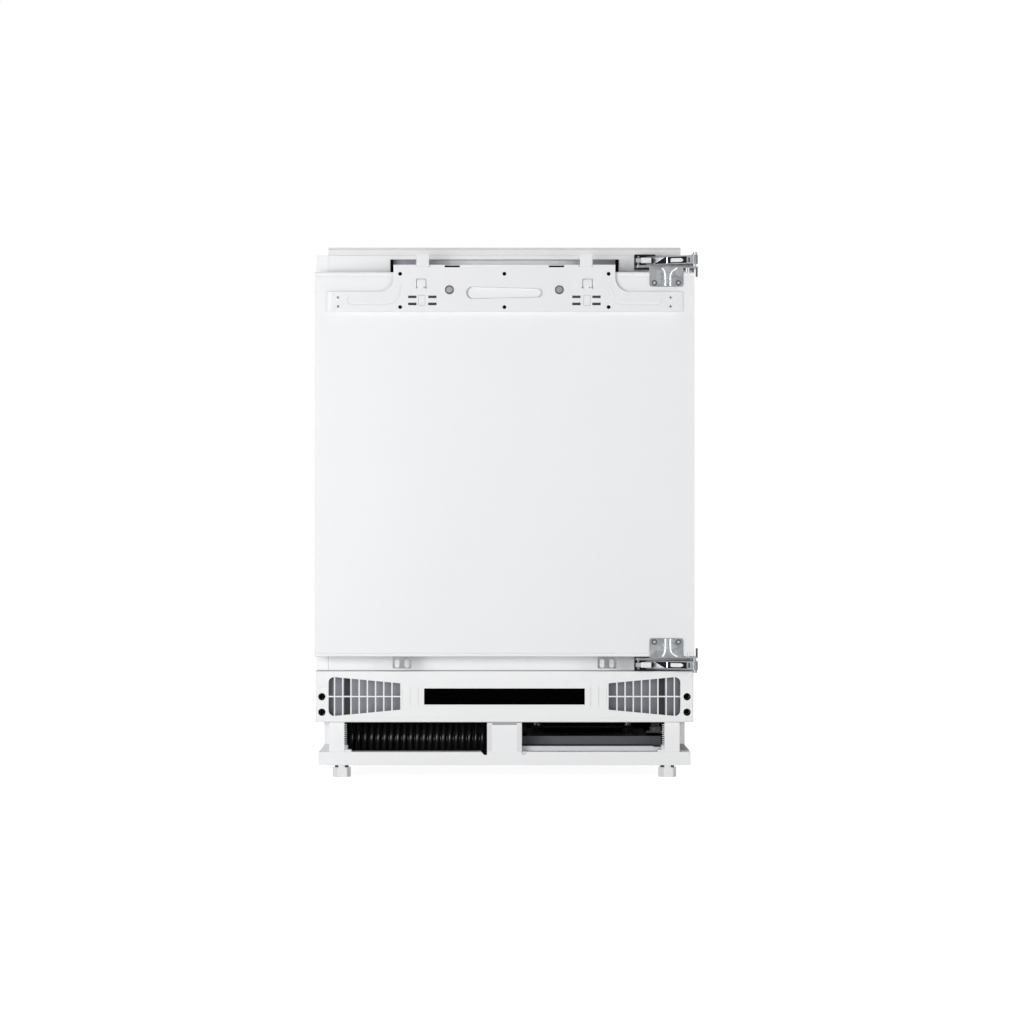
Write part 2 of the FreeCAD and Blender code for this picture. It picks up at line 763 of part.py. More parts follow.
def crisper_drawer():
    top = CRISPER_LEVEL - DRAWER_TOP_GAP
    front = deep(DRAWER_FRONT)
    lip = slab((-DRAWER_HANDLE_HALF, DRAWER_HANDLE_HALF), (front - DRAWER_HANDLE_REACH, front),
               (top - DRAWER_HANDLE_HEIGHT, top))
    scoop = slab((-DRAWER_HANDLE_HALF + STEEL, DRAWER_HANDLE_HALF - STEEL),
                 (front - DRAWER_HANDLE_REACH + STEEL, front), (top - DRAWER_HANDLE_HEIGHT, top - STEEL))
    return join(trim(drawer_block(0), drawer_block(DRAWER_WALL)), trim(lip, scoop))


def control_housing():
    low = CAVITY_TOP - HOUSING_HEIGHT
    front = deep(HOUSING_FRONT)
    outer = slab((-HOUSING_HALF, HOUSING_HALF), (front, front + HOUSING_DEPTH), (low, CAVITY_TOP))
    bottom_edges = [e for e in outer.Edges if abs(e.CenterOfMass.z - low) < FIT]
    outer = outer.makeFillet(HOUSING_WALL * 2, bottom_edges)
    w = HOUSING_WALL
    room = slab((-HOUSING_HALF + w, HOUSING_HALF - w), (front + w, front + HOUSING_DEPTH - w),
                (low + w, CAVITY_TOP))
    shaft = rod(KNOB_SHAFT_R + FIT, (KNOB_X, front - w, low + HOUSING_HEIGHT / 2), (0, 1, 0), w * 3)
    return trim(outer, room, lens_plate(SLIP, w), shaft)


def lens_plate(grow, height):
    front = deep(HOUSING_FRONT) + LENS_MARGIN
    low = CAVITY_TOP - HOUSING_HEIGHT
    return slab((LENS_X - LENS_HALF - grow, LENS_X + LENS_HALF + grow),
                (front - grow, front + HOUSING_DEPTH - 2 * LENS_MARGIN + grow), (low, low + height))


def lamp_lens():
    rim = lens_plate(LENS_RIM, HOUSING_WALL)
    rim.translate(V(0, 0, HOUSING_WALL))
    return join(lens_plate(0, HOUSING_WALL), rim)


def thermostat_knob():
    rear = deep(HOUSING_FRONT) - STAND_OFF
    z = CAVITY_TOP - HOUSING_HEIGHT / 2
    disc = rod(KNOB_R, (KNOB_X, rear - KNOB_DEPTH / 2, z), (0, 1, 0), KNOB_DEPTH / 2)
    grip = slab((KNOB_X - STEEL, KNOB_X + STEEL), (rear - KNOB_DEPTH, rear), (z - KNOB_R, z + KNOB_R))
    grip = grip.common(rod(KNOB_R, (KNOB_X, rear - KNOB_DEPTH, z), (0, 1, 0), KNOB_DEPTH))
    shaft = rod(KNOB_SHAFT_R, (KNOB_X, rear - STEEL, z), (0, 1, 0), KNOB_SHAFT)
    return join(disc, grip, shaft)


# Door
def door_z():
    return (DOOR_BOTTOM + BOTTOM_CAP, DOOR_TOP - TOP_CAP)


def door_skin():
    low, high = door_z()
    rear = DOOR_REAR - LINER_WALL
    outline = [
        (-HALF, DOOR_FACE), (HALF, DOOR_FACE), (HALF, rear), (HALF - SHEET, rear),
        (HALF - SHEET, DOOR_FACE + SHEET), (-HALF + SHEET, DOOR_FACE + SHEET),
        (-HALF + SHEET, rear), (-HALF, rear),
    ]
    return sheet_profile(outline, "xy", low, high - low)


def door_cap(low, high, edge_z):
    block = slab((-HALF, HALF), (DOOR_FACE, DOOR_REAR), (low, high))
    edges = [e for e in block.Edges
             if abs(e.CenterOfMass.z - edge_z) < FIT and e.CenterOfMass.y < DOOR_FACE + FIT]
    return block.makeFillet(CAP_ROUND, edges)


def dyke(inset):
    """One of the two upright ridges of the door liner that carry the bins."""
    return slab((DYKE_OUT - DYKE_WIDTH + inset, DYKE_OUT - inset),
                (DOOR_REAR - LINER_WALL, DOOR_REAR + DYKE_DEPTH - inset),
                (DOOR_BOTTOM + DYKE_MARGIN + inset, DOOR_TOP - DYKE_MARGIN - inset))


def bin_levels():
    return [DOOR_BOTTOM + BOTTLE_BIN_LEVEL, DOOR_BOTTOM + MIDDLE_BIN_LEVEL, DOOR_BOTTOM + UPPER_BIN_LEVEL]


def door_liner():
    low, high = door_z()
    plate = slab((-HALF, HALF), (DOOR_REAR - LINER_WALL, DOOR_REAR), (low, high))
    ridges = pair(dyke(0))
    lugs = []
    inner = DYKE_OUT - DYKE_WIDTH
    for level in bin_levels():
        lugs += pair(slab((inner - LUG_SIZE, inner), (DOOR_REAR, DOOR_REAR + DYKE_DEPTH - LUG_SIZE),
                          (level - LUG_SIZE, level)))
    return trim(join(plate, *ridges, *lugs), *pair(dyke(LINER_WALL)))


def door_foam():
    low, high = door_z()
    block = slab((-HALF + SHEET, HALF - SHEET), (DOOR_FACE + SHEET, DOOR_REAR - LINER_WALL), (low, high))
    return join(block, *pair(dyke(LINER_WALL)))


def door_gasket():
    rear = DOOR_REAR + SEAL_THICK
    outer = slab((-HALF + SEAL_INSET, HALF - SEAL_INSET), (DOOR_REAR, rear),
                 (DOOR_BOTTOM + SEAL_INSET / 2, DOOR_TOP - SEAL_INSET / 2))
    edge = SEAL_INSET + SEAL_WIDTH
    inner = slab((-HALF + edge, HALF - edge), (DOOR_REAR, rear),
                 (DOOR_BOTTOM + SEAL_INSET / 2 + SEAL_WIDTH, DOOR_TOP - SEAL_INSET / 2 - SEAL_WIDTH))
    return trim(outer, inner)


def door_bin(level, height):
    half = DYKE_OUT - DYKE_WIDTH - STAND_OFF * 2
    front = DOOR_REAR + STAND_OFF
    outer = slab((-half, half), (front, front + BIN_DEPTH), (level, level + height))
    corners = [e for e in outer.Edges if abs(e.Length - height) < FIT and e.CenterOfMass.y > front + STEEL]
    outer = outer.makeFillet(BIN_WALL * 5, corners)
    w = BIN_WALL
    room = slab((-half + w, half - w), (front + w, front + BIN_DEPTH - w), (level + w, level + height + w))
    corners = [e for e in room.Edges if abs(e.Length - height) < FIT and e.CenterOfMass.y > front + STEEL * 2]
    return trim(outer, room.makeFillet(BIN_WALL * 4, corners))


# Furniture panel bracket, its hangers and the lower clips
def bracket_face():
    return DOOR_FACE - BRACKET_FACE


def plate_outline(grow):
    top = DOOR_TOP + BRACKET_RISE
    arm = DOOR_TOP - BRACKET_ARM_TOP
    low = DOOR_TOP - BRACKET_DROP
    outline = [
        (-BRACKET_HALF, top), (BRACKET_HALF, top), (BRACKET_HALF, arm), (BRACKET_ARM_HALF, arm),
        (BRACKET_ARM_HALF, low), (-BRACKET_ARM_HALF, low), (-BRACKET_ARM_HALF, arm), (-BRACKET_HALF, arm),
    ]
    solid = sheet_profile(outline, "xz", bracket_face(), grow)
    inner = [e for e in solid.Edges if abs(e.Length - grow) < FIT and abs(e.CenterOfMass.z - arm) < FIT
             and abs(abs(e.CenterOfMass.x) - BRACKET_HALF) < FIT]
    return solid.makeFillet(BRACKET_FILLET, inner)


def stroke(points, width, height):
    """A raised bead along a line of points in x and z, on the front of the bracket plate."""
    pieces = [capsule(p, q, width, width, 0, height) for p, q in zip(points, points[1:])]
    bead = pieces[0] if len(pieces) == 1 else join(*pieces)
    return upright(bead, bracket_face() + STAND_OFF)


def grip_form(level, grow):
    """The pressed grip: a long teardrop that narrows towards its floor."""
    left = -GRIP_HALF + GRIP_BIG
    right = GRIP_HALF - GRIP_SMALL
    lean = GRIP_END_SLOPE - GRIP_SIDE_SLOPE
    mouth = capsule_outline((left, level), (right, level), GRIP_BIG + grow, GRIP_SMALL + grow, GRIP_DEPTH)
    base = capsule_outline((left + lean, level), (right - lean, level), GRIP_BIG - GRIP_SIDE_SLOPE + grow,
                           GRIP_SMALL - GRIP_SIDE_SLOPE + grow, 0)
    return Part.makeLoft([base, mouth], True, True)


def bracket_holes():
    places = []
    for x in (-BRACKET_HOLE_X, 0, BRACKET_HOLE_X):
        for drop in (BRACKET_HOLE_TOP, BRACKET_HOLE_BOTTOM):
            places.append((x, DOOR_TOP - drop, BRACKET_HOLE_R))
    for side in (-1, 1):
        for drop in ARM_HOLE_DROPS:
            places.append((side * ARM_HOLE_X, DOOR_TOP - drop, ARM_HOLE_R))
        places.append((side * DOME_X, DOOR_TOP - DOME_DROP, DOME_SHANK_R + FIT))
    face = bracket_face() - STEEL
    return [rod(r, (x, face, z), (0, 1, 0), BRACKET_SHEET + 2 * STEEL) for x, z, r in places]


def bracket_cuts():
    y = (bracket_face() - STEEL, bracket_face() + BRACKET_SHEET + STEEL)
    top = DOOR_TOP + BRACKET_RISE
    cuts = []
    notch = slab((NOTCH_X - NOTCH_HALF, NOTCH_X + NOTCH_HALF), y, (top - NOTCH_DEEP, top + STEEL))
    middle = DOOR_TOP - WINDOW_DROP
    window = slab((WINDOW_X - WINDOW_HALF, WINDOW_X + WINDOW_HALF), y,
                  (middle - WINDOW_HALF_HEIGHT, middle + WINDOW_HALF_HEIGHT))
    tab = slab((WINDOW_X - WINDOW_HALF + LANCE, WINDOW_X + WINDOW_HALF - LANCE), y,
               (middle - WINDOW_HALF_HEIGHT - STEEL, middle + WINDOW_HALF_HEIGHT - LANCE))
    cuts += pair(notch)
    for slit in trim(window, tab).Solids:
        cuts += pair(slit)
    for side in (-1, 1):
        at = WINDOW_X + side * (WINDOW_HALF - LANCE / 2)
        relief = rod(LANCE_R, (at, y[0], middle - WINDOW_HALF_HEIGHT), (0, 1, 0), y[1] - y[0])
        cuts += pair(relief)
    for drop in SLOT_DROPS:
        for side in (-1, 1):
            at = SLOT_X + side * SLOT_OFFSET
            z = DOOR_TOP - drop
            tall = (z - SLOT_HALF_HEIGHT, z + SLOT_HALF_HEIGHT)
            cuts += pair(slab((at - SLOT_HALF, at + SLOT_HALF), y, tall))
    return cuts


def panel_bracket():
    face = bracket_face()
    plate = plate_outline(BRACKET_SHEET)
    low = DOOR_TOP - BRACKET_DROP
    arm = DOOR_TOP - BRACKET_ARM_TOP
    foot = slab((-BRACKET_ARM_HALF, BRACKET_ARM_HALF), (face, DOOR_FACE), (low, low + BRACKET_SHEET))
    tip = BRACKET_ARM_HALF + BRACKET_END_SLOPE
    root = BRACKET_ARM_HALF - BRACKET_SHEET
    outline = [(root, face), (BRACKET_ARM_HALF, face), (tip, DOOR_FACE - BRACKET_SHEET), (tip, DOOR_FACE),
               (tip - BRACKET_SHEET, DOOR_FACE), (root, face + BRACKET_SHEET)]
    ends = pair(sheet_profile(outline, "xy", low, arm - low))
    grip_z = DOOR_TOP - GRIP_DROP
    high = BEAD_PROUD + STAND_OFF
    pocket = upright(grip_form(grip_z, 0), face + GRIP_DEPTH)
    dish = upright(grip_form(grip_z, BRACKET_SHEET), face + GRIP_DEPTH + BRACKET_SHEET)
    near = BRACKET_HALF - BRACKET_FILLET / 2
    line = [(near, arm + BRACKET_FILLET / 2), (BRACKET_HALF, arm - BRACKET_FILLET / 2),
            (BRACKET_HALF + BRACKET_FILLET, (arm + low) / 2), (ARM_HOLE_X - BRACKET_FILLET, (arm + low) / 2)]
    beads = pair(stroke(line, BEAD_WIDTH, high))
    body = join(plate, foot, *ends, dish)
    return trim(join(body, *beads), pocket, *bracket_holes(), *bracket_cuts())


def panel_hangers():
    low = DOOR_TOP + BRACKET_RISE - HANGER_OVERLAP
    high = low + HANGER_OVERLAP + HANGER_RISE
    face = bracket_face()
    x = (HANGER_X - HANGER_HALF, HANGER_X + HANGER_HALF)
    tongue = slab(x, (face - BRACKET_SHEET, face), (low, high))
    hook = slab(x, (face - BRACKET_SHEET, face - BRACKET_SHEET + HANGER_HOOK), (high - BRACKET_SHEET, high))
    return pair(join(tongue, hook))


def bracket_screws():
    face = bracket_face()
    screws = []
    for side in (-1, 1):
        x = side * DOME_X
        z = DOOR_TOP - DOME_DROP
        head = rod(DOME_R, (x, face - BRACKET_SHEET, z), (0, 1, 0), BRACKET_SHEET)
        rim = [e for e in head.Edges
               if e.Curve.TypeId == "Part::GeomCircle" and e.CenterOfMass.y < face - FIT]
        head = head.makeFillet(DOME_ROUND, rim)
        screws.append(join(head, rod(DOME_SHANK_R, (x, face, z), (0, 1, 0), BRACKET_FACE)))
    return screws


def lower_clip():
    front = deep(CLIP_FRONT)
    top = DOOR_BOTTOM
    x = (CLIP_X - CLIP_HALF, CLIP_X + CLIP_HALF)
    plate = slab(x, (front, front + BRACKET_SHEET), (top - CLIP_DROP, top))
    foot = slab(x, (front, front + CLIP_DEPTH), (top - BRACKET_SHEET, top))
    run = CLIP_SLOT_LENGTH / 2 - CLIP_SLOT_HALF
    middle = top - BRACKET_SHEET - CLIP_DROP / 2
    slots = []
    for side in (-1, 1):
        at = CLIP_X + side * CLIP_SLOT_X
        slot = capsule((at, middle - run), (at, middle + run), CLIP_SLOT_HALF, CLIP_SLOT_HALF, 0, STEEL * 3)
        slots.append(upright(slot, front + BRACKET_SHEET + STEEL))
    hole = rod(SCREW_R + FIT, (CLIP_X, front + CLIP_SCREW_BACK, top - STEEL * 2), (0, 0, 1), STEEL * 3)
    return trim(join(plate, foot), hole, *slots)


def clip_screw():
    place = (CLIP_X, deep(CLIP_FRONT) + CLIP_SCREW_BACK, DOOR_BOTTOM)
    return screw(place, (0, 0, -1), BRACKET_SHEET)


# Hinge pieces, built upright from the layer next to the door
def spot(pivot):
    return (HALF + pivot[0], deep(pivot[1]))


GUIDE_LOW = HINGE_SHEET + LAYER_GAP
ARM_LOW = GUIDE_LOW + GUIDE_BAR + LAYER_GAP
ARM_HIGH = HINGE_HEIGHT - HINGE_SHEET - LAYER_GAP / 2


def hinge_base():
    left = HALF + HINGE_BASE_LEFT
    end = HALF + HINGE_FLANGE_END
    front = deep(HINGE_BASE_FRONT)
    rear = CAB_FRONT
    web = rear - HINGE_SHEET
    back = slab((left, HALF + TAB_SHEET), (web, rear), (0, HINGE_HEIGHT))
    top = slab((left, end), (front, rear), (HINGE_HEIGHT - HINGE_SHEET, HINGE_HEIGHT))
    low = slab((left, end), (front, rear), (0, HINGE_SHEET))
    wall = slab((left, left + HINGE_SHEET), (front, rear), (ARM_LOW, HINGE_HEIGHT))
    tab = slab((HALF, HALF + TAB_SHEET), (web, web + TAB_DEPTH), (-TAB_DROP, HINGE_HEIGHT))
    holes = []
    for place in base_screw_places():
        holes.append(rod(SCREW_R + FIT, place, (0, -1, 0), HINGE_SHEET))
    return trim(join(back, top, low, wall, tab), *holes)


def base_screw_places():
    z = HINGE_HEIGHT / 2
    spots = (HINGE_FLANGE_END + SCREW_HEAD_R * 2, -FLANGE - SCREW_HEAD_R * 2)
    return [(HALF + at, CAB_FRONT, z) for at in spots]


def base_screws():
    return [screw(place, (0, -1, 0), HINGE_SHEET) for place in base_screw_places()]


def base_pins():
    length = HINGE_HEIGHT - 2 * HINGE_SHEET
    return [rod(HINGE_PIN_R, spot(p) + (HINGE_SHEET,), (0, 0, 1), length) for p in (PIVOT_A, PIVOT_C)]


def hinge_arm():
    a = spot(PIVOT_A)
    b = spot(PIVOT_B)
    height = ARM_HIGH - ARM_LOW
    body = capsule(a, b, ARM_R, BARREL_R, ARM_LOW, height)
    length = math.hypot(b[0] - a[0], b[1] - a[1])
    turn = math.degrees(math.atan2(b[1] - a[1], b[0] - a[0]))
    run = length - 2 * ARM_POCKET_END
    pocket = slab((ARM_POCKET_END, ARM_POCKET_END + run), (-2 * ARM_R, BARREL_R - ARM_BACK_WALL),
                  (ARM_LOW + ARM_WALL, ARM_HIGH - ARM_WALL))
    z = (ARM_LOW + 2 * ARM_WALL, ARM_HIGH - 2 * ARM_WALL)
    window = slab(ARM_PANE, (-2 * ARM_R, 2 * ARM_R), z)
    near, far = ARM_GUSSET
    corner = sheet_profile([(near, z[0]), (far, z[0]), (far, z[1])], "xz", -2 * ARM_R, 4 * ARM_R)
    cuts = [pocket, window, corner]
    for cut in cuts:
        cut.rotate(V(0, 0, 0), V(0, 0, 1), turn)
        cut.translate(V(a[0], a[1], 0))
    for p in (a, b):
        cuts.append(rod(HINGE_PIN_R + FIT, p + (ARM_LOW,), (0, 0, 1), height))
    return trim(body, *cuts)


def guide_link():
    c = spot(PIVOT_C)
    d = spot(PIVOT_D)
    length = math.hypot(d[0] - c[0], d[1] - c[1])
    along = ((d[0] - c[0]) / length, (d[1] - c[1]) / length)
    end = (d[0] - along[1] * GUIDE_SLOT_OFFSET, d[1] + along[0] * GUIDE_SLOT_OFFSET)
    back = (end[0] - along[0] * GUIDE_SLOT_BACK, end[1] - along[1] * GUIDE_SLOT_BACK)
    body = capsule(c, end, GUIDE_END_R, GUIDE_R, GUIDE_LOW, GUIDE_BAR)
    wide = GUIDE_PIN_R + GUIDE_SLOT_SIDE
    slot = capsule(back, end, wide, wide, GUIDE_LOW, GUIDE_BAR)
    bore = rod(HINGE_PIN_R + FIT, c + (GUIDE_LOW,), (0, 0, 1), GUIDE_BAR)
    return trim(body, slot, bore)


def hinge_door_plate():
    left = HALF + PLATE_LEFT
    right = HALF + PLATE_RIGHT
    face = DOOR_FACE - HINGE_SHEET
    tongue_end = HALF + PIVOT_B[0] + BARREL_R
    tongue_back = deep(PIVOT_D[1]) + GUIDE_PIN_R * 2
    plate = slab((left, right), (face, DOOR_FACE), (-PLATE_DROP, HINGE_SHEET))
    corners = [e for e in plate.Edges if abs(e.Length - HINGE_SHEET) < FIT and e.CenterOfMass.z < 0]
    plate = plate.makeFillet(HINGE_SHEET * 2, corners)
    shelf = slab((left, tongue_end), (face, deep(HINGE_SHEET)), (0, HINGE_SHEET))
    tongue = slab((HALF + PIVOT_D[0] - GUIDE_PIN_R * 2, tongue_end), (face, tongue_back), (0, HINGE_SHEET))
    holes = [rod(SCREW_R + FIT, place, (0, -1, 0), HINGE_SHEET) for place in plate_screw_places()]
    middle = (left + right) / 2
    ribs = []
    for side in (-1, 1):
        foot = middle + side * PLATE_RIB_FOOT
        head = middle + side * PLATE_RIB_HEAD
        w = PLATE_RIB_HALF
        outline = [(foot - w, -PLATE_SCREW_DROP), (foot + w, -PLATE_SCREW_DROP), (foot + w, -PLATE_RIB_FORK),
                   (head + w, 0), (head - w, 0), (foot - w, -PLATE_RIB_FORK)]
        ribs.append(sheet_profile(outline, "xz", face - BEAD_PROUD, BEAD_PROUD + STAND_OFF))
    return trim(join(plate, shelf, tongue, *ribs), *holes)


def plate_screw_places():
    middle = HALF + (PLATE_LEFT + PLATE_RIGHT) / 2
    return [(middle + s * PLATE_SCREW_SPACING / 2, DOOR_FACE, -PLATE_SCREW_DROP) for s in (-1, 1)]


def plate_screws():
    return [screw(place, (0, -1, 0), HINGE_SHEET) for place in plate_screw_places()]


def door_pins():
    length = ARM_HIGH - HINGE_SHEET + LAYER_GAP / 2
    swing = rod(HINGE_PIN_R, spot(PIVOT_B) + (HINGE_SHEET,), (0, 0, 1), length)
    cap = rod(PIN_CAP_R, spot(PIVOT_B) + (ARM_HIGH + LAYER_GAP / 2,), (0, 0, 1), HINGE_SHEET / 2)
    guide = rod(GUIDE_PIN_R, spot(PIVOT_D) + (HINGE_SHEET,), (0, 0, 1), GUIDE_BAR + LAYER_GAP)
    return [join(swing, cap), guide]


def at_both_hinges(shapes):
    """The top set stands above the door top; the bottom set is its mirror image below the door."""
    placed = []
    for shape in shapes:
        upper = shape.copy()
        upper.translate(V(0, 0, DOOR_TOP + TOP_HINGE_GAP))
        lower = shape.mirror(V(0, 0, 0), V(0, 0, 1))
        lower.translate(V(0, 0, DOOR_BOTTOM - BOTTOM_HINGE_GAP))
        placed += [upper, lower]
    return placed


# Vent grille
def vent_middle():
    return GRILLE_BOTTOM + VENT_RISE


def vent_cells():
    front = deep(GRILLE_FRONT)
    middle = vent_middle()
    outline = [(VENT_OUT, middle - VENT_OUT_HALF), (VENT_OUT, middle + VENT_OUT_HALF),
               (VENT_IN, middle + VENT_IN_HALF), (VENT_IN, middle - VENT_IN_HALF)]
    pane = sheet_profile(outline, "xz", front, GRILLE_WALL)
    corners = [e for e in pane.Edges
               if abs(e.Length - GRILLE_WALL) < FIT and e.CenterOfMass.x > VENT_OUT - FIT]
    pane = pane.makeFillet(VENT_ROUND, corners)
    y = (front, front + GRILLE_WALL)
    tall = (middle - VENT_OUT_HALF, middle + VENT_OUT_HALF)
    bars = [slab((VENT_IN, VENT_OUT), y, (middle - VENT_BAR / 2, middle + VENT_BAR / 2))]
    for index in range(VENT_BARS):
        at = VENT_OUT - VENT_END_CELL - index * VENT_PITCH
        bars.append(slab((at - VENT_BAR / 2, at + VENT_BAR / 2), y, tall))
    return trim(pane, *bars)


def vent_grille():
    front = deep(GRILLE_FRONT)
    top = CAB_BOTTOM - STAND_OFF
    outer = slab((-HALF, HALF), (front, front + GRILLE_DEPTH), (GRILLE_BOTTOM, top))
    edges = [e for e in outer.Edges if e.CenterOfMass.y < front + FIT]
    outer = outer.makeFillet(CAP_ROUND, edges)
    w = GRILLE_WALL
    room = slab((-HALF + w, HALF - w), (front + w, front + GRILLE_DEPTH), (GRILLE_BOTTOM + w, top - w))
    box = trim(outer, room)
    bosses = []
    bores = []
    for rise in BOSS_RISES:
        z = GRILLE_BOTTOM + rise
        bosses += pair(rod(BOSS_R, (BOSS_X, front + STEEL, z), (0, 1, 0), GRILLE_DEPTH - STEEL))
        bores += pair(rod(BOSS_BORE_R, (BOSS_X, front, z), (0, 1, 0), GRILLE_DEPTH - BOSS_FLOOR))
        bores += pair(rod(SCREW_R + FIT, (BOSS_X, front, z), (0, 1, 0), GRILLE_DEPTH))
    cells = vent_cells()
    middle = vent_middle()
    window = slab((-PANE_HALF, PANE_HALF), (front, front + w),
                  (middle - PANE_HALF_HEIGHT, middle + PANE_HALF_HEIGHT))
    grooves = []
    for index in range(3):
        at = VENT_IN - VENT_BAR - index * VENT_PITCH
        grooves += pair(slab((at - GROOVE_WIDTH, at), (front, front + GROOVE_DEPTH),
                             (middle - VENT_IN_HALF + index * STEEL, middle + VENT_IN_HALF - index * STEEL)))
    return trim(join(box, *bosses), cells, mirrored(cells), window, *grooves, *bores)


def vent_window():
    back = deep(GRILLE_FRONT) + GRILLE_WALL
    middle = vent_middle()
    rim_half = PANE_HALF + PANE_RIM
    rim_height = PANE_HALF_HEIGHT + PANE_RIM
    rim = slab((-rim_half, rim_half), (back, back + STEEL), (middle - rim_height, middle + rim_height))
    pane = slab((-PANE_HALF + SLIP, PANE_HALF - SLIP), (back - GRILLE_WALL + PANE_SETBACK, back),
                (middle - PANE_HALF_HEIGHT + SLIP, middle + PANE_HALF_HEIGHT - SLIP))
    return join(rim, pane)


def air_shield():
    """The sheet at the back of the grille box, with one upright slot at each side."""
    front = deep(GRILLE_FRONT + GRILLE_DEPTH - SHIELD_SETBACK)
    half = BOSS_X - BOSS_R - SHIELD_GAP
    low = GRILLE_BOTTOM + GRILLE_WALL
    high = CAB_BOTTOM - STAND_OFF - GRILLE_WALL
    plate = slab((-half, half), (front, front + SHEET), (low, high))
    at = VENT_OUT - SHIELD_SLOT_INSET
    slot = slab((at - SHIELD_SLOT_HALF, at + SHIELD_SLOT_HALF), (front, front + SHEET),
                (low + SHIELD_SLOT_MARGIN, high - SHIELD_SLOT_MARGIN))
    return trim(plate, *pair(slot))


def grille_screws():
    seat = deep(GRILLE_FRONT + GRILLE_DEPTH)
    screws = []
    for rise in BOSS_RISES:
        screws += pair(screw((BOSS_X, seat, GRILLE_BOTTOM + rise), (0, -1, 0), BOSS_FLOOR))
    return screws


# Base frame and feet
def channel(x, front, depth):
    """A bar of channel section with its web to the front."""
    web = slab(x, (front, front + STEEL), (FOOT_HEIGHT, BAR_TOP))
    top = slab(x, (front, front + depth), (BAR_TOP - STEEL, BAR_TOP))
    low = slab(x, (front, front + depth), (FOOT_HEIGHT, FOOT_HEIGHT + STEEL))
    return join(web, top, low)


def stem_holes(y):
    return pair(rod(STEM_R + STAND_OFF, (FOOT_X, y, FOOT_HEIGHT), (0, 0, 1), BAR_HEIGHT))


def base_front_frame():
    bar = channel((-BAR_HALF, BAR_HALF), deep(BAR_FRONT), BAR_DEPTH)
    face = deep(BAR_FRONT + POST_SETBACK)
    z = (BAR_TOP - STEEL, GRILLE_BOTTOM)
    inner = SIDE_POST_OUT - SIDE_POST_WIDTH
    web = slab((inner, SIDE_POST_OUT), (face, face + STEEL), z)
    side = slab((SIDE_POST_OUT - STEEL, SIDE_POST_OUT), (face, face + SIDE_POST_DEPTH), z)
    z_centre = (BAR_TOP - STEEL, GRILLE_BOTTOM - CENTRE_POST_GAP)
    centre = slab((-CENTRE_POST_HALF, CENTRE_POST_HALF), (face, face + STEEL), z_centre)
    cheek = slab((CENTRE_POST_HALF - STEEL, CENTRE_POST_HALF), (face, face + CENTRE_POST_DEPTH), z_centre)
    rear = deep(BAR_BACK)
    outline = [(BAR_HALF, BAR_TOP), (GUSSET_IN, BAR_TOP), (GUSSET_IN, BAR_TOP + GUSSET_HEIGHT),
               (GUSSET_TOP, BAR_TOP + GUSSET_HEIGHT)]
    gusset = sheet_profile(outline, "xz", rear - STEEL, STEEL)
    outline = [(CENTRE_POST_HALF, BAR_TOP), (CENTRE_POST_HALF + CENTRE_NOTCH, BAR_TOP),
               (CENTRE_POST_HALF + CENTRE_NOTCH / 2, BAR_TOP - CENTRE_NOTCH_DROP),
               (CENTRE_POST_HALF, BAR_TOP - CENTRE_NOTCH_DROP)]
    notch = sheet_profile(outline, "xz", deep(BAR_FRONT), CENTRE_NOTCH_DEPTH)
    frame = join(bar, *pair(web), *pair(side), centre, *pair(cheek), *pair(gusset))
    return trim(frame, *pair(notch), *stem_holes(deep(FOOT_DEEP)))


def base_rail():
    front = deep(BAR_BACK)
    wall = slab((RAIL_OUT - STEEL, RAIL_OUT), (front, BACK), (FOOT_HEIGHT, CAB_BOTTOM))
    wide = (RAIL_OUT - RAIL_FLANGE, RAIL_OUT)
    low = slab(wide, (front, deep(REAR_BAR_FRONT)), (FOOT_HEIGHT, FOOT_HEIGHT + STEEL))
    face = slab(wide, (front, front + STEEL), (FOOT_HEIGHT, CAB_BOTTOM))
    ear = slab((RAIL_OUT - STEEL, RAIL_OUT + EAR_REACH), (front, front + STEEL),
               (GRILLE_BOTTOM + EAR_MARGIN, GRILLE_BOTTOM + BOSS_RISES[1] + BOSS_R + EAR_MARGIN))
    return join(wall, low, face, ear)


def gland_plate():
    rear = deep(REAR_BAR_FRONT + BAR_DEPTH)
    return slab((GLAND_X - GLAND_PLATE_HALF, GLAND_X + GLAND_PLATE_HALF), (rear - STEEL, rear),
                (BAR_TOP - STEEL, BAR_TOP + GLAND_PLATE_HEIGHT))


def base_rear_bar():
    half = RAIL_OUT - STEEL
    bar = channel((-half, half), deep(REAR_BAR_FRONT), BAR_DEPTH)
    hole = rod(GLAND_R, (GLAND_X, deep(REAR_BAR_FRONT), GLAND_Z), (0, 1, 0), BAR_DEPTH)
    return trim(join(bar, gland_plate()), hole, *stem_holes(deep(REAR_FOOT_DEEP)))


def compartment_cover():
    """The vented sheet that closes the back of the base up to the top of the compressor."""
    front = deep(REAR_BAR_FRONT + BAR_DEPTH)
    y = (front, front + COVER_SHEET)
    narrow = RAIL_OUT - STEEL - SLIP
    wide = HALF - SHEET - SLIP
    lower = slab((-narrow, narrow), y, (FOOT_HEIGHT, CAB_BOTTOM + COVER_GAP))
    upper = slab((-wide, wide), y, (CAB_BOTTOM + SLIP, SHELL_TOP))
    reach = GLAND_FLANGE_R + SLIP
    notch = slab((GLAND_X - reach, GLAND_X + reach), y, (FOOT_HEIGHT, GLAND_Z + reach))
    slots = []
    for index in range(COVER_SLOTS):
        z = SHELL_TOP - (index + 1) * COVER_SLOT_STEP
        at = RAIL_OUT - COVER_SLOT_MARGIN
        slots += pair(slab((at - COVER_SLOT_HALF, at + COVER_SLOT_HALF), y, (z - COVER_SLOT, z)))
    return trim(join(lower, upper), notch, *slots)


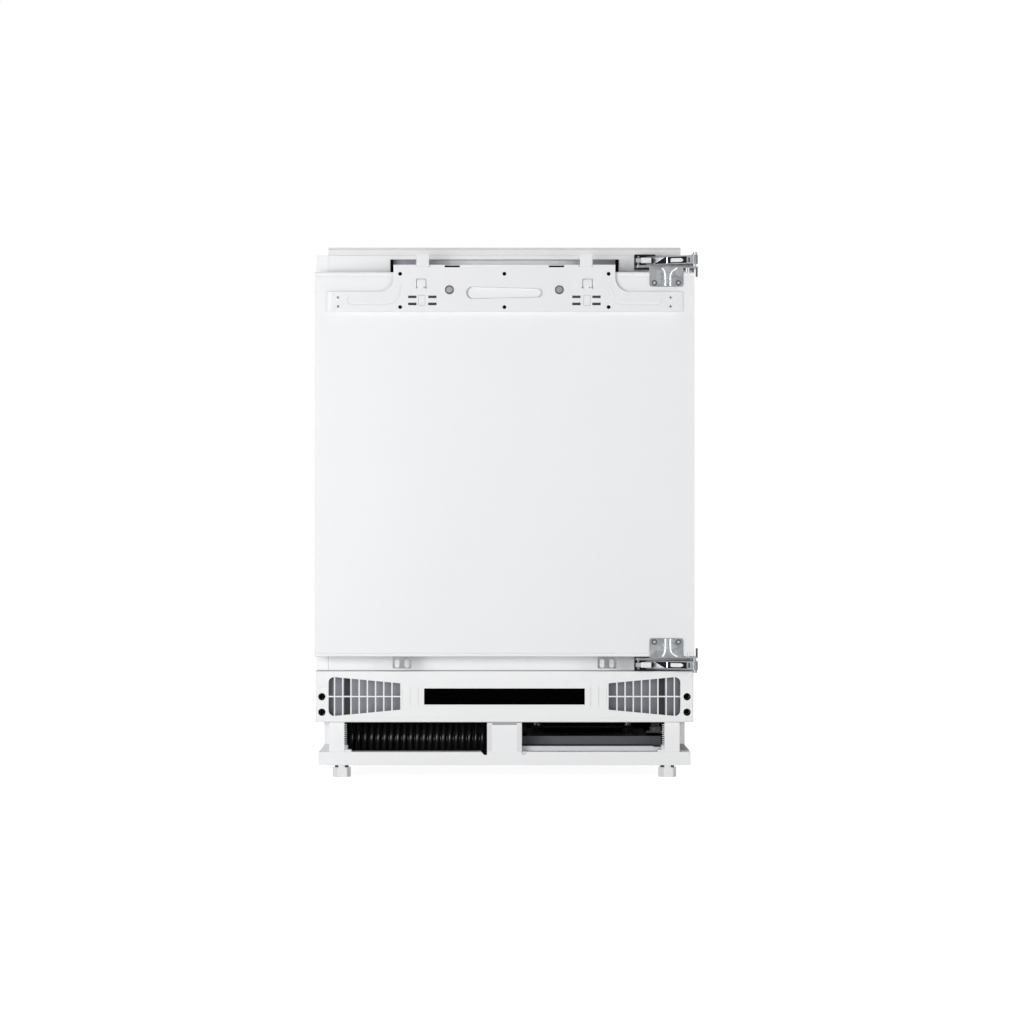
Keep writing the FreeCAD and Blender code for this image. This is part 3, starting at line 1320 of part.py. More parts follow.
def cord_gland():
    rear = deep(REAR_BAR_FRONT + BAR_DEPTH)
    body = rod(GLAND_R, (GLAND_X, rear - STEEL * 4, GLAND_Z), (0, 1, 0), STEEL * 5)
    flange = rod(GLAND_FLANGE_R, (GLAND_X, rear, GLAND_Z), (0, 1, 0), STEEL)
    bore = rod(GLAND_R / 2, (GLAND_X, rear - STEEL * 4, GLAND_Z), (0, 1, 0), STEEL * 5)
    return trim(join(body, flange), bore)


def foot(x, y):
    r = FOOT_HEX / math.sqrt(3)
    corners = []
    for index in range(6):
        angle = math.radians(60 * index + FOOT_HEX_ANGLE)
        corners.append((x + r * math.cos(angle), y + r * math.sin(angle)))
    hexagon = sheet_profile(corners, "xy", 0, FOOT_HEX_HEIGHT)
    collar = rod(FOOT_COLLAR_R, (x, y, FOOT_HEX_HEIGHT), (0, 0, 1), FOOT_HEIGHT - FOOT_HEX_HEIGHT)
    core = STEM_R - THREAD_DEPTH
    outline = [V(0, 0, FOOT_HEIGHT), V(core, 0, FOOT_HEIGHT)]
    turns = int(STEM_LENGTH / THREAD_PITCH)
    for turn in range(turns):
        z = FOOT_HEIGHT + turn * THREAD_PITCH
        outline += [V(core, 0, z + THREAD_ROOT), V(STEM_R, 0, z + THREAD_FLANK),
                    V(STEM_R, 0, z + THREAD_CREST), V(core, 0, z + THREAD_PITCH)]
    outline.append(V(0, 0, FOOT_HEIGHT + turns * THREAD_PITCH))
    stem = Part.Face(Part.makePolygon(outline + outline[:1])).revolve(V(0, 0, 0), V(0, 0, 1), 360)
    stem.translate(V(x, y, 0))
    return join(hexagon, collar, stem)


def foot_nut(x, y):
    boss = rod(NUT_R - STEEL, (x, y, BAR_TOP), (0, 0, 1), NUT_HEIGHT)
    plate = slab((x - NUT_PLATE_HALF, x + NUT_PLATE_HALF),
                 (y - NUT_PLATE_HALF_DEPTH, y + NUT_PLATE_HALF_DEPTH), (BAR_TOP, BAR_TOP + NUT_PLATE))
    bore = rod(STEM_R + STAND_OFF, (x, y, BAR_TOP), (0, 0, 1), NUT_HEIGHT)
    return trim(join(boss, plate), bore)


# Condenser coil, tray and fan
def coil_point(angle):
    """Turns from the bottom over the front to the top; angle 0 is the lead at the bottom left."""
    turn = math.pi + angle
    x = COIL_LEFT + COIL_PITCH * angle / (2 * math.pi)
    return V(x, deep(COIL_DEEP) + COIL_R * math.sin(turn), COIL_Z + COIL_R * math.cos(turn))


def coil_heading(angle):
    turn = math.pi + angle
    heading = V(COIL_PITCH / (2 * math.pi), COIL_R * math.cos(turn), -COIL_R * math.sin(turn))
    return heading.normalize()


def arc_between(start, control, end):
    chord = (start + end) * 0.5
    half = (end - start).Length / 2
    lean = math.atan2((control - chord).Length, half)
    middle = chord + (control - chord) * (math.tan(lean / 2) / math.tan(lean))
    return Part.Arc(start, middle, end).toShape()


def biarc(start, heading, end, out):
    """Two arcs that leave along one heading and arrive along the other."""
    gap = end - start
    both = heading + out
    a = 2 * (heading.dot(out) - 1)
    b = -2 * gap.dot(both)
    c = gap.dot(gap)
    reach = (-b - math.sqrt(b * b - 4 * a * c)) / (2 * a) if abs(a) > 1e-9 else -c / b
    if reach < 0:
        reach = (-b + math.sqrt(b * b - 4 * a * c)) / (2 * a)
    first = start + heading * reach
    second = end - out * reach
    middle = (first + second) * 0.5
    return [arc_between(start, first, middle), arc_between(middle, second, end)]


def condenser_coil():
    quarters = int(round(COIL_TURNS * 4))
    step = math.pi / 2
    edges = []
    lead_in = coil_point(0) - coil_heading(0) * COIL_LEAD
    edges.append(Part.makeLine(lead_in, coil_point(0)))
    for index in range(quarters):
        a = index * step
        b = a + step
        edges += biarc(coil_point(a), coil_heading(a), coil_point(b), coil_heading(b))
    last = quarters * step
    lead_out = coil_point(last) + coil_heading(last) * COIL_LEAD
    edges.append(Part.makeLine(coil_point(last), lead_out))
    ring = Part.Wire(Part.makeCircle(COIL_TUBE / 2, lead_in, coil_heading(0)))
    coil = Part.Wire(edges).makePipeShell([ring], True, False)
    print("condenser coil: least gap to itself", round(coil_gap(edges), 3), "mm")
    return coil


def coil_gap(edges):
    """Least clear distance between runs of the tube that are not neighbours along it."""
    points = []
    length = 0
    for edge in edges:
        for point in edge.discretize(8)[:-1]:
            points.append((length + (point - edge.valueAt(edge.FirstParameter)).Length, point))
        length += edge.Length
    least = length
    skip = COIL_R
    for index, (s, p) in enumerate(points):
        for t, q in points[index + 1:index + 400]:
            if t - s > skip:
                least = min(least, (p - q).Length)
    return least - COIL_TUBE


def coil_end(last):
    angle = COIL_TURNS * 2 * math.pi if last else 0
    way = 1 if last else -1
    return coil_point(angle) + coil_heading(angle) * COIL_LEAD * way


def condenser_tray():
    """A shelf that hooks over the front bar and rests on the rail, with two ribs that carry the coil
    and a rear wall that keeps the air round it."""
    inner = -RAIL_OUT + RAIL_FLANGE + SLIP
    front = deep(BAR_BACK) + SLIP
    rear = front + TRAY_DEPTH
    z = (TRAY_FLOOR - TRAY_WALL, TRAY_FLOOR)
    floor = slab((inner, TRAY_RIGHT), (front, rear), z)
    ledge = slab((-RAIL_OUT + STEEL + SLIP, inner), (front + STEEL, rear), z)
    wall = slab((inner, TRAY_RIGHT), (front, front + TRAY_WALL), (z[0], TRAY_TOP))
    hook = slab((inner, TRAY_RIGHT), (deep(TRAY_FRONT), front), (BAR_TOP, TRAY_TOP))
    outer = COIL_R + COIL_TUBE / 2
    seat = COIL_Z - math.sqrt(outer ** 2 - (TRAY_RIB_OFFSET - TRAY_RIB / 2) ** 2) - COIL_SEAT_GAP
    long = (COIL_LEFT + TRAY_RIB_START, SHROUD_X - COIL_TUBE)
    ribs = []
    for side in (-1, 1):
        y = deep(COIL_DEEP) + side * TRAY_RIB_OFFSET
        ribs.append(slab(long, (y - TRAY_RIB / 2, y + TRAY_RIB / 2), (z[0], seat)))
    guide = slab((inner, TRAY_RIGHT), (rear - TRAY_WALL, rear), (z[0], TRAY_FLOOR + TRAY_REAR))
    room = PIPE_R + TRAY_PIPE_GAP
    guide = trim(guide, discharge_line(room), drier_line(room))
    return join(floor, ledge, wall, hook, guide, *ribs)


def fan_axis(x):
    return (x, deep(COIL_DEEP), FAN_Z)


def fan_shroud():
    y = deep(COIL_DEEP)
    plate = slab((SHROUD_X, SHROUD_X + SHROUD_WALL), (y - SHROUD_HALF, y + SHROUD_HALF),
                 (TRAY_FLOOR, TRAY_FLOOR + SHROUD_HEIGHT))
    collar = rod(FAN_BORE_R + COLLAR_WALL, fan_axis(SHROUD_X), (1, 0, 0), SHROUD_WALL + COLLAR_LENGTH)
    bore = rod(FAN_BORE_R, fan_axis(SHROUD_X), (1, 0, 0), SHROUD_WALL + COLLAR_LENGTH)
    return trim(join(plate, collar), bore)


def fan_rotor():
    start = SHROUD_X + SHROUD_WALL + FAN_START
    hub = rod(FAN_HUB_R, fan_axis(start), (1, 0, 0), FAN_WIDTH)
    nose = [e for e in hub.Edges if e.Curve.TypeId == "Part::GeomCircle" and e.CenterOfMass.x < start + FIT]
    hub = hub.makeFillet(FAN_BLADE_WALL * 2, nose)
    shaft = rod(FAN_SHAFT_R, fan_axis(start + FAN_WIDTH - STEEL), (1, 0, 0), FAN_SHAFT + STEEL)
    ring = rod(FAN_TIP_R, fan_axis(start), (1, 0, 0), FAN_WIDTH)
    blades = []
    for index in range(FAN_BLADES):
        blade = slab((-FAN_CHORD / 2, FAN_CHORD / 2), (-FAN_BLADE_WALL / 2, FAN_BLADE_WALL / 2),
                     (FAN_HUB_R - STEEL, FAN_TIP_R + STEEL))
        blade.rotate(V(0, 0, 0), V(0, 0, 1), FAN_BLADE_ANGLE)
        blade.translate(V(*fan_axis(start + FAN_WIDTH / 2)))
        blade.rotate(V(*fan_axis(0)), V(1, 0, 0), 360 * index / FAN_BLADES)
        blades.append(blade.common(ring))
    return join(hub, shaft, *blades)


def fan_motor():
    start = SHROUD_X + SHROUD_WALL + FAN_START + FAN_WIDTH + MOTOR_GAP
    body = rod(MOTOR_R, fan_axis(start), (1, 0, 0), MOTOR_LENGTH)
    arms = []
    for index in range(MOTOR_ARMS):
        arm = slab((start, start + MOTOR_ARM), (-MOTOR_ARM, MOTOR_ARM), (MOTOR_R - STEEL, FAN_BORE_R + STEEL))
        arm.translate(V(0, deep(COIL_DEEP), FAN_Z))
        arm.rotate(V(*fan_axis(0)), V(1, 0, 0), 360 * index / MOTOR_ARMS)
        arms.append(arm.common(rod(FAN_BORE_R, fan_axis(start), (1, 0, 0), MOTOR_ARM)))
    bore = rod(FAN_SHAFT_R + FIT, fan_axis(start), (1, 0, 0), FAN_SHAFT)
    return trim(join(body, *arms), bore)


# Compressor and what stands with it
def compressor_plate():
    front = deep(TRAY_FRONT)
    rear = deep(REAR_BAR_FRONT + BAR_DEPTH - STEEL * 2)
    x = (PLATE_FROM, PLATE_TO)
    top = slab(x, (front, rear), (PLATE_TOP - STEEL, PLATE_TOP))
    lip = slab(x, (front, front + STEEL), (BAR_TOP, PLATE_TOP))
    tail = slab(x, (rear - STEEL, rear), (BAR_TOP, PLATE_TOP))
    stand = deep(UPSTAND_DEEP)
    upstand = slab(x, (stand, stand + STEEL), (PLATE_TOP - STEEL, PLATE_TOP + UPSTAND_HEIGHT))
    return join(top, lip, tail, upstand)


def mount_places():
    places = []
    for sx in (-1, 1):
        for sy in (-1, 1):
            places.append((COMPRESSOR_X + sx * MOUNT_X, deep(COMPRESSOR_DEEP) + sy * MOUNT_Y))
    return places


def shell_profile():
    low = SHELL_BOTTOM
    top = SHELL_TOP
    r = COMPRESSOR_R
    seam = (low + top) / 2
    dome = r - COMPRESSOR_TOP_R
    foot_r = COMPRESSOR_FOOT_R
    skirt = r - foot_r
    low_wall = low + skirt
    high_wall = top - dome
    slant = math.sqrt(0.5)
    edges = [
        Part.makeLine(V(0, 0, low), V(foot_r, 0, low)),
        Part.Arc(V(foot_r, 0, low), V(foot_r + skirt * slant, 0, low_wall - skirt * slant),
                 V(r, 0, low_wall)).toShape(),
        Part.makeLine(V(r, 0, low_wall), V(r, 0, seam)),
        Part.makeLine(V(r, 0, seam), V(SEAM_R, 0, seam)),
        Part.makeLine(V(SEAM_R, 0, seam), V(SEAM_R, 0, seam + SEAM_HEIGHT)),
        Part.makeLine(V(SEAM_R, 0, seam + SEAM_HEIGHT), V(r, 0, seam + SEAM_HEIGHT)),
        Part.makeLine(V(r, 0, seam + SEAM_HEIGHT), V(r, 0, high_wall)),
        Part.Arc(V(r, 0, high_wall), V(COMPRESSOR_TOP_R + dome * slant, 0, high_wall + dome * slant),
                 V(COMPRESSOR_TOP_R, 0, top)).toShape(),
        Part.makeLine(V(COMPRESSOR_TOP_R, 0, top), V(0, 0, top)),
        Part.makeLine(V(0, 0, top), V(0, 0, low)),
    ]
    return Part.Face(Part.Wire(edges))


def discharge_height():
    return COIL_Z + COIL_R


def suction_height():
    return SHELL_TOP - SUCTION_DROP


def compressor():
    y = deep(COMPRESSOR_DEEP)
    shell = shell_profile().revolve(V(0, 0, 0), V(0, 0, 1), 360)
    shell.translate(V(COMPRESSOR_X, y, 0))
    legs = slab((COMPRESSOR_X - LEG_HALF_X, COMPRESSOR_X + LEG_HALF_X), (y - LEG_HALF_Y, y + LEG_HALF_Y),
                (LEG_BOTTOM, SHELL_BOTTOM))
    x = COMPRESSOR_X + DISCHARGE_X
    reach = COMPRESSOR_R + STUB_END
    discharge = rod(STUB_R, (x, y - reach, discharge_height()), (0, 1, 0), reach)
    suction = rod(STUB_R, (COMPRESSOR_X, y, suction_height()), (1, 0, 0), reach)
    holes = [rod(STUD_R + SLIP, place + (LEG_BOTTOM,), (0, 0, 1), LEG_SHEET) for place in mount_places()]
    return trim(join(shell, legs, discharge, suction), *holes)


def compressor_mounts():
    mounts = []
    for place in mount_places():
        body = rod(MOUNT_R, place + (PLATE_TOP,), (0, 0, 1), MOUNT_HEIGHT)
        mounts.append(trim(body, rod(STUD_R + SLIP, place + (PLATE_TOP,), (0, 0, 1), MOUNT_HEIGHT)))
    return mounts


def compressor_studs():
    studs = []
    for place in mount_places():
        shank = rod(STUD_R, place + (PLATE_TOP,), (0, 0, 1), MOUNT_HEIGHT + LEG_SHEET)
        head = rod(STUD_HEAD_R, place + (SHELL_BOTTOM,), (0, 0, 1), STUD_HEAD)
        studs.append(join(shank, head))
    return studs


def relay_box():
    y = deep(COMPRESSOR_DEEP)
    middle = (SHELL_BOTTOM + SHELL_TOP) / 2
    left = COMPRESSOR_X - SEAM_R - RELAY_REACH
    block = slab((left, COMPRESSOR_X - RELAY_INNER), (y - RELAY_HALF, y + RELAY_HALF),
                 (middle - RELAY_HEIGHT / 2, middle + RELAY_HEIGHT / 2))
    room = rod(SEAM_R + SLIP, (COMPRESSOR_X, y, SHELL_BOTTOM), (0, 0, 1), COMPRESSOR_HEIGHT)
    return trim(block, room)


def drip_tray():
    y = deep(COMPRESSOR_DEEP)
    x = (COMPRESSOR_X - BASIN_HALF_X, COMPRESSOR_X + BASIN_HALF_X)
    outer = slab(x, (y - BASIN_HALF_Y, y + BASIN_HALF_Y), (SHELL_TOP, SHELL_TOP + BASIN_HEIGHT))
    w = BASIN_WALL
    room = slab((x[0] + w, x[1] - w), (y - BASIN_HALF_Y + w, y + BASIN_HALF_Y - w),
                (SHELL_TOP + w, SHELL_TOP + BASIN_HEIGHT))
    return trim(outer, room)


def discharge_line(radius):
    end = coil_end(True)
    cross = deep(PIPE_CROSSING)
    x = COMPRESSOR_X + DISCHARGE_X
    stub = deep(COMPRESSOR_DEEP) - COMPRESSOR_R - STUB_END
    z = discharge_height()
    return tube([(end.x, end.y + SLIP / 2, end.z), (end.x, cross, z), (x, cross, z), (x, stub, z)], radius)


def drier_line(radius):
    start = coil_end(False)
    bend = deep(DRIER_FROM - DRIER_BEND)
    ramp = bend + (DRIER_Z - start.z)
    return tube([(start.x, start.y + SLIP / 2, start.z), (start.x, bend, start.z), (start.x, ramp, DRIER_Z),
                 (start.x, deep(DRIER_FROM), DRIER_Z)], radius)


def refrigerant_pipes():
    start = coil_end(False)
    turn = deep(CAPILLARY_TURN)
    capillary = tube([(start.x, deep(DRIER_FROM) + DRIER_LENGTH, DRIER_Z), (start.x, turn, DRIER_Z),
                      (start.x, turn, HUMP_TOP)], CAPILLARY_R)
    y = deep(COMPRESSOR_DEEP)
    high = suction_height()
    suction = tube([(COMPRESSOR_X + COMPRESSOR_R + STUB_END, y, high), (SUCTION_X, y, high),
                    (SUCTION_X, y, HUMP_TOP)], SUCTION_R)
    return [discharge_line(PIPE_R), drier_line(PIPE_R), capillary, suction]


def filter_drier():
    start = coil_end(False)
    at = (start.x, deep(DRIER_FROM), DRIER_Z)
    cone = DRIER_CONE
    front = Part.makeCone(PIPE_R, DRIER_R, cone, V(*at), V(0, 1, 0))
    middle = rod(DRIER_R, (at[0], at[1] + cone, at[2]), (0, 1, 0), DRIER_LENGTH - 2 * cone)
    rear = Part.makeCone(DRIER_R, PIPE_R, cone, V(at[0], at[1] + DRIER_LENGTH - cone, at[2]), V(0, 1, 0))
    return join(front, middle, rear)


# The pieces
left_side = side_panel()
add("left_side_panel", left_side)
add("right_side_panel", mirrored(left_side))
add("bottom_panel", bottom_panel())
inner_half = HALF - SHEET
between = (-inner_half, inner_half)
add("top_panel", slab(between, (CAB_FRONT + TOP_TRIM_DEPTH, BACK), (CAB_TOP - SHEET, CAB_TOP)))
add("back_panel", slab(between, (BACK - SHEET, BACK), (HUMP_TOP + SHEET, CAB_TOP - SHEET)))
add("cabinet_foam", cabinet_foam())
add("inner_liner", inner_liner())
add("evaporator_plate", evaporator())
add("top_front_trim", top_front_trim())
add("bottom_front_trim", bottom_front_trim())
add("worktop_strip", worktop_strip())
placed_levels = [CRISPER_LEVEL + SHELF_STEP * step for step in range(SHELVES)]
add("glass_shelves", *[shelf_glass(level) for level in placed_levels])
add("shelf_trims", *[shelf_trim(level) for level in placed_levels])
add("crisper_drawer", crisper_drawer())
add("control_housing", control_housing())
add("lamp_lens", lamp_lens())
add("thermostat_knob", thermostat_knob())
add("door_skin", door_skin())
add("door_top_cap", door_cap(DOOR_TOP - TOP_CAP, DOOR_TOP, DOOR_TOP))
add("door_bottom_cap", door_cap(DOOR_BOTTOM, DOOR_BOTTOM + BOTTOM_CAP, DOOR_BOTTOM))
add("door_liner", door_liner())
add("door_foam", door_foam())
add("door_gasket", door_gasket())
add("bottle_bin", door_bin(DOOR_BOTTOM + BOTTLE_BIN_LEVEL, BOTTLE_BIN_HEIGHT))
add("middle_bin", door_bin(DOOR_BOTTOM + MIDDLE_BIN_LEVEL, SMALL_BIN_HEIGHT))
add("upper_bin", door_bin(DOOR_BOTTOM + UPPER_BIN_LEVEL, SMALL_BIN_HEIGHT))
add("panel_bracket", panel_bracket())
add("panel_hangers", *panel_hangers())
add("lower_panel_clips", *pair(lower_clip()))
add("hinge_bases", *at_both_hinges([hinge_base(), *base_pins()]))
add("hinge_arms", *at_both_hinges([hinge_arm()]))
add("hinge_guide_links", *at_both_hinges([guide_link()]))
add("hinge_door_plates", *at_both_hinges([hinge_door_plate(), *door_pins()]))
strip_screws = [screw(place, (0, 0, 1), STRIP_SHEET) for place in strip_screw_places()]
add("cabinet_screws", *at_both_hinges(base_screws()), *strip_screws, *grille_screws(), *compressor_studs())
add("door_screws", *at_both_hinges(plate_screws()), *bracket_screws(), *pair(clip_screw()))
add("vent_grille", vent_grille())
add("vent_window", vent_window())
add("air_shield", air_shield())
add("base_front_frame", base_front_frame())
rail = base_rail()
add("base_rail_right", rail)
add("base_rail_left", mirrored(rail))
add("base_rear_bar", base_rear_bar())
add("compartment_cover", compartment_cover())
add("cord_gland", cord_gland())
foot_places = {
    "front_left_foot": (-FOOT_X, deep(FOOT_DEEP)), "front_right_foot": (FOOT_X, deep(FOOT_DEEP)),
    "rear_left_foot": (-FOOT_X, deep(REAR_FOOT_DEEP)), "rear_right_foot": (FOOT_X, deep(REAR_FOOT_DEEP)),
}
for name, place in foot_places.items():
    add(name, foot(*place))
add("foot_nuts", *[foot_nut(*place) for place in foot_places.values()])
add("condenser_coil", condenser_coil())
add("condenser_tray", condenser_tray())
add("fan_shroud", fan_shroud())
add("fan_rotor", fan_rotor())
add("fan_motor", fan_motor())
add("compressor_plate", compressor_plate())
add("compressor", compressor())
add("compressor_mounts", *compressor_mounts())
add("relay_box", relay_box())
add("drip_tray", drip_tray())
add("refrigerant_pipes", *refrigerant_pipes(), filter_drier())

os.makedirs("parts", exist_ok=True)
for name, solids in PARTS.items():
    for solid in solids:
        solid.translate(SHIFT)
    shape = solids[0] if len(solids) == 1 else Part.makeCompound(solids)
    if not shape.isValid():
        print("not valid:", name)
    shape.exportStep("parts/" + name + ".step")
print(len(PARTS), "pieces")
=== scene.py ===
import json
import math

import bpy
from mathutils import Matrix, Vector


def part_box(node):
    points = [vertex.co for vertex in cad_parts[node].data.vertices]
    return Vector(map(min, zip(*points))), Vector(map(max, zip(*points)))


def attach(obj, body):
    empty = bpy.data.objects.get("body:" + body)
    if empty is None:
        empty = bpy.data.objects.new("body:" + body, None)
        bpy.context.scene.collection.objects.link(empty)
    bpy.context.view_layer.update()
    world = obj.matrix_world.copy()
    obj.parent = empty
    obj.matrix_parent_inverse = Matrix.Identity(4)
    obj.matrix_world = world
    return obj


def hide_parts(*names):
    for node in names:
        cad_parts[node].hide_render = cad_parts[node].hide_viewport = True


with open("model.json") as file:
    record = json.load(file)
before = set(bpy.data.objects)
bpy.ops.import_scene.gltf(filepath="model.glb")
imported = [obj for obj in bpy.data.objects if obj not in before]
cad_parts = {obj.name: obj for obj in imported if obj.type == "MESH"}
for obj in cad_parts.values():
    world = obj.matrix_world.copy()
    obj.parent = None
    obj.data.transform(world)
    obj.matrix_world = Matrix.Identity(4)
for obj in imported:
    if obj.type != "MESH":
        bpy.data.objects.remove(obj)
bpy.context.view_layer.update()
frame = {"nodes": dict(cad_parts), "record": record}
NODES = frame["nodes"]
SLOT_OF = {part["node"]: part["material_slot"] for part in frame["record"]["subparts"]}
BODY_OF = {node: body for body, members in frame["record"]["behaviour"]["bodies"].items() for node in members}

# Millimetres in a metre
MILLI = 1000
# Points of one mesh that lie closer than this are one point
MERGE = 0.000002
# Faces that turn less than this from each other are one flat face
FLAT = math.radians(0.3)
# Edges that turn more than this are sharp, in degrees
SHARP = 35.0
# Least part of a face's normal along the side that it looks to
FACING = 0.9
# Sides of a piece: the axis and the direction along it
LEFT, RIGHT, FRONT, REAR, UNDER, TOP = (0, -1), (0, 1), (1, -1), (1, 1), (2, -1), (2, 1)

# Scales of the noise and strengths of the bumps in the finishes
CLOUD_SCALE, SPECK_SCALE, GLOSS_SCALE = 6.0, 700.0, 14.0
SPECK_SHARE = 0.3
PAINT_BUMP, PLATED_BUMP = 0.5, 0.6
PLATED_GRAIN, PLATED_SKIN = 500.0, 0.00003
CLEAR_GRAIN, CLEAR_DRIFT = 300.0, 1.03


# Shader node helpers
def rgb(r, g, b):
    return (r, g, b, 1.0)


def new_group(name, inputs, outputs):
    tree = bpy.data.node_groups.new(name, "ShaderNodeTree")
    for sockets, way in ((inputs, "INPUT"), (outputs, "OUTPUT")):
        for label, kind in sockets.items():
            tree.interface.new_socket(label, in_out=way, socket_type="NodeSocket" + kind)
    return tree, tree.nodes.new("NodeGroupInput"), tree.nodes.new("NodeGroupOutput")


def noise(tree, place, scale, detail):
    """A noise texture on a place, its scale typed or linked."""
    node = tree.nodes.new("ShaderNodeTexNoise")
    node.inputs["Detail"].default_value = detail
    tree.links.new(place, node.inputs["Vector"])
    if isinstance(scale, float):
        node.inputs["Scale"].default_value = scale
    else:
        tree.links.new(scale, node.inputs["Scale"])
    return node.outputs["Fac"]


def blend_colours(tree, share, low, high):
    """Two colours mixed by a share, each typed or linked."""
    node = tree.nodes.new("ShaderNodeMix")
    node.data_type = "RGBA"
    tree.links.new(share, node.inputs[0])
    for value, socket in ((low, node.inputs[6]), (high, node.inputs[7])):
        if isinstance(value, tuple):
            socket.default_value = value
        else:
            tree.links.new(value, socket)
    return node.outputs[2]


def mottle_group():
    """Soft drifting colour with a fine speckle, for paint and moulded plastic."""
    tree, entry, leave = new_group("mottle", {"Place": "Vector", "Low": "Color", "High": "Color"}, {"Color": "Color"})
    both = tree.nodes.new("ShaderNodeMix")
    both.data_type = "FLOAT"
    both.inputs[0].default_value = SPECK_SHARE
    tree.links.new(noise(tree, entry.outputs["Place"], CLOUD_SCALE, 3.0), both.inputs[2])
    tree.links.new(noise(tree, entry.outputs["Place"], SPECK_SCALE, 1.0), both.inputs[3])
    tone = blend_colours(tree, both.outputs[0], entry.outputs["Low"], entry.outputs["High"])
    tree.links.new(tone, leave.inputs["Color"])
    return tree


def grain_group():
    """Fine uneven gloss and the height of a skin, for every hard finish."""
    tree, entry, leave = new_group(
        "grain", {"Place": "Vector", "Scale": "Float", "Rough Low": "Float", "Rough High": "Float"},
        {"Roughness": "Float", "Height": "Float"})
    gloss = tree.nodes.new("ShaderNodeMapRange")
    tree.links.new(noise(tree, entry.outputs["Place"], GLOSS_SCALE, 4.0), gloss.inputs["Value"])
    tree.links.new(entry.outputs["Rough Low"], gloss.inputs["To Min"])
    tree.links.new(entry.outputs["Rough High"], gloss.inputs["To Max"])
    tree.links.new(gloss.outputs["Result"], leave.inputs["Roughness"])
    tree.links.new(noise(tree, entry.outputs["Place"], entry.outputs["Scale"], 2.0), leave.inputs["Height"])
    return tree


def spangle_group():
    """Crystal flakes of a zinc coat: flat cells that differ a little in tone."""
    tree, entry, leave = new_group(
        "spangle", {"Place": "Vector", "Scale": "Float", "Low": "Color", "High": "Color"}, {"Color": "Color"})
    cells = tree.nodes.new("ShaderNodeTexVoronoi")
    tree.links.new(entry.outputs["Place"], cells.inputs["Vector"])
    tree.links.new(entry.outputs["Scale"], cells.inputs["Scale"])
    split = tree.nodes.new("ShaderNodeSeparateColor")
    tree.links.new(cells.outputs["Color"], split.inputs["Color"])
    tone = blend_colours(tree, split.outputs["Red"], entry.outputs["Low"], entry.outputs["High"])
    tree.links.new(tone, leave.inputs["Color"])
    return tree


MOTTLE = mottle_group()
GRAIN = grain_group()
SPANGLE = spangle_group()


def place_of(tree):
    return tree.nodes.new("ShaderNodeTexCoord").outputs["Object"]


def use_group(tree, group, place, **values):
    node = tree.nodes.new("ShaderNodeGroup")
    node.node_tree = group
    tree.links.new(place, node.inputs["Place"])
    for label, value in values.items():
        node.inputs[label.replace("_", " ")].default_value = value
    return node


def finish_of(name, rough, grain, tone_group, **tones):
    """A finish with a tone group as its colour and the grain group as its gloss."""
    material = bpy.data.materials.new(name)
    material.use_nodes = True
    tree = material.node_tree
    face = tree.nodes["Principled BSDF"]
    place = place_of(tree)
    tone = use_group(tree, tone_group, place, **tones)
    skin = use_group(tree, GRAIN, place, Scale=grain, Rough_Low=rough[0], Rough_High=rough[1])
    tree.links.new(tone.outputs["Color"], face.inputs["Base Color"])
    tree.links.new(skin.outputs["Roughness"], face.inputs["Roughness"])
    return material, face, skin


def bumpy(material, face, skin, strength, depth):
    tree = material.node_tree
    node = tree.nodes.new("ShaderNodeBump")
    node.inputs["Strength"].default_value = strength
    node.inputs["Distance"].default_value = depth
    tree.links.new(skin.outputs["Height"], node.inputs["Height"])
    tree.links.new(node.outputs["Normal"], face.inputs["Normal"])


def coated(name, low, high, rough, grain, depth, specular=0.5):
    """Paint or moulded plastic: drifting tone, uneven gloss and a fine skin."""
    material, face, skin = finish_of(name, rough, grain, MOTTLE, Low=rgb(*low), High=rgb(*high))
    bumpy(material, face, skin, PAINT_BUMP, depth)
    face.inputs["Specular IOR Level"].default_value = specular
    return material


def plated(name, low, high, rough, flakes):
    """Plated steel: flakes of tone over a bright metal."""
    material, face, skin = finish_of(name, rough, PLATED_GRAIN, SPANGLE, Scale=flakes, Low=rgb(*low), High=rgb(*high))
    bumpy(material, face, skin, PLATED_BUMP, PLATED_SKIN)
    face.inputs["Metallic"].default_value = 1.0
    return material


def clear(name, tint, rough, ior):
    """See-through shelf or bin: a tint, and gloss that wanders a little."""
    pale = [min(1.0, part * CLEAR_DRIFT) for part in tint]
    material, face, _ = finish_of(name, rough, CLEAR_GRAIN, MOTTLE, Low=rgb(*tint), High=rgb(*pale))
    face.inputs["Transmission Weight"].default_value = 1.0
    face.inputs["IOR"].default_value = ior
    return material


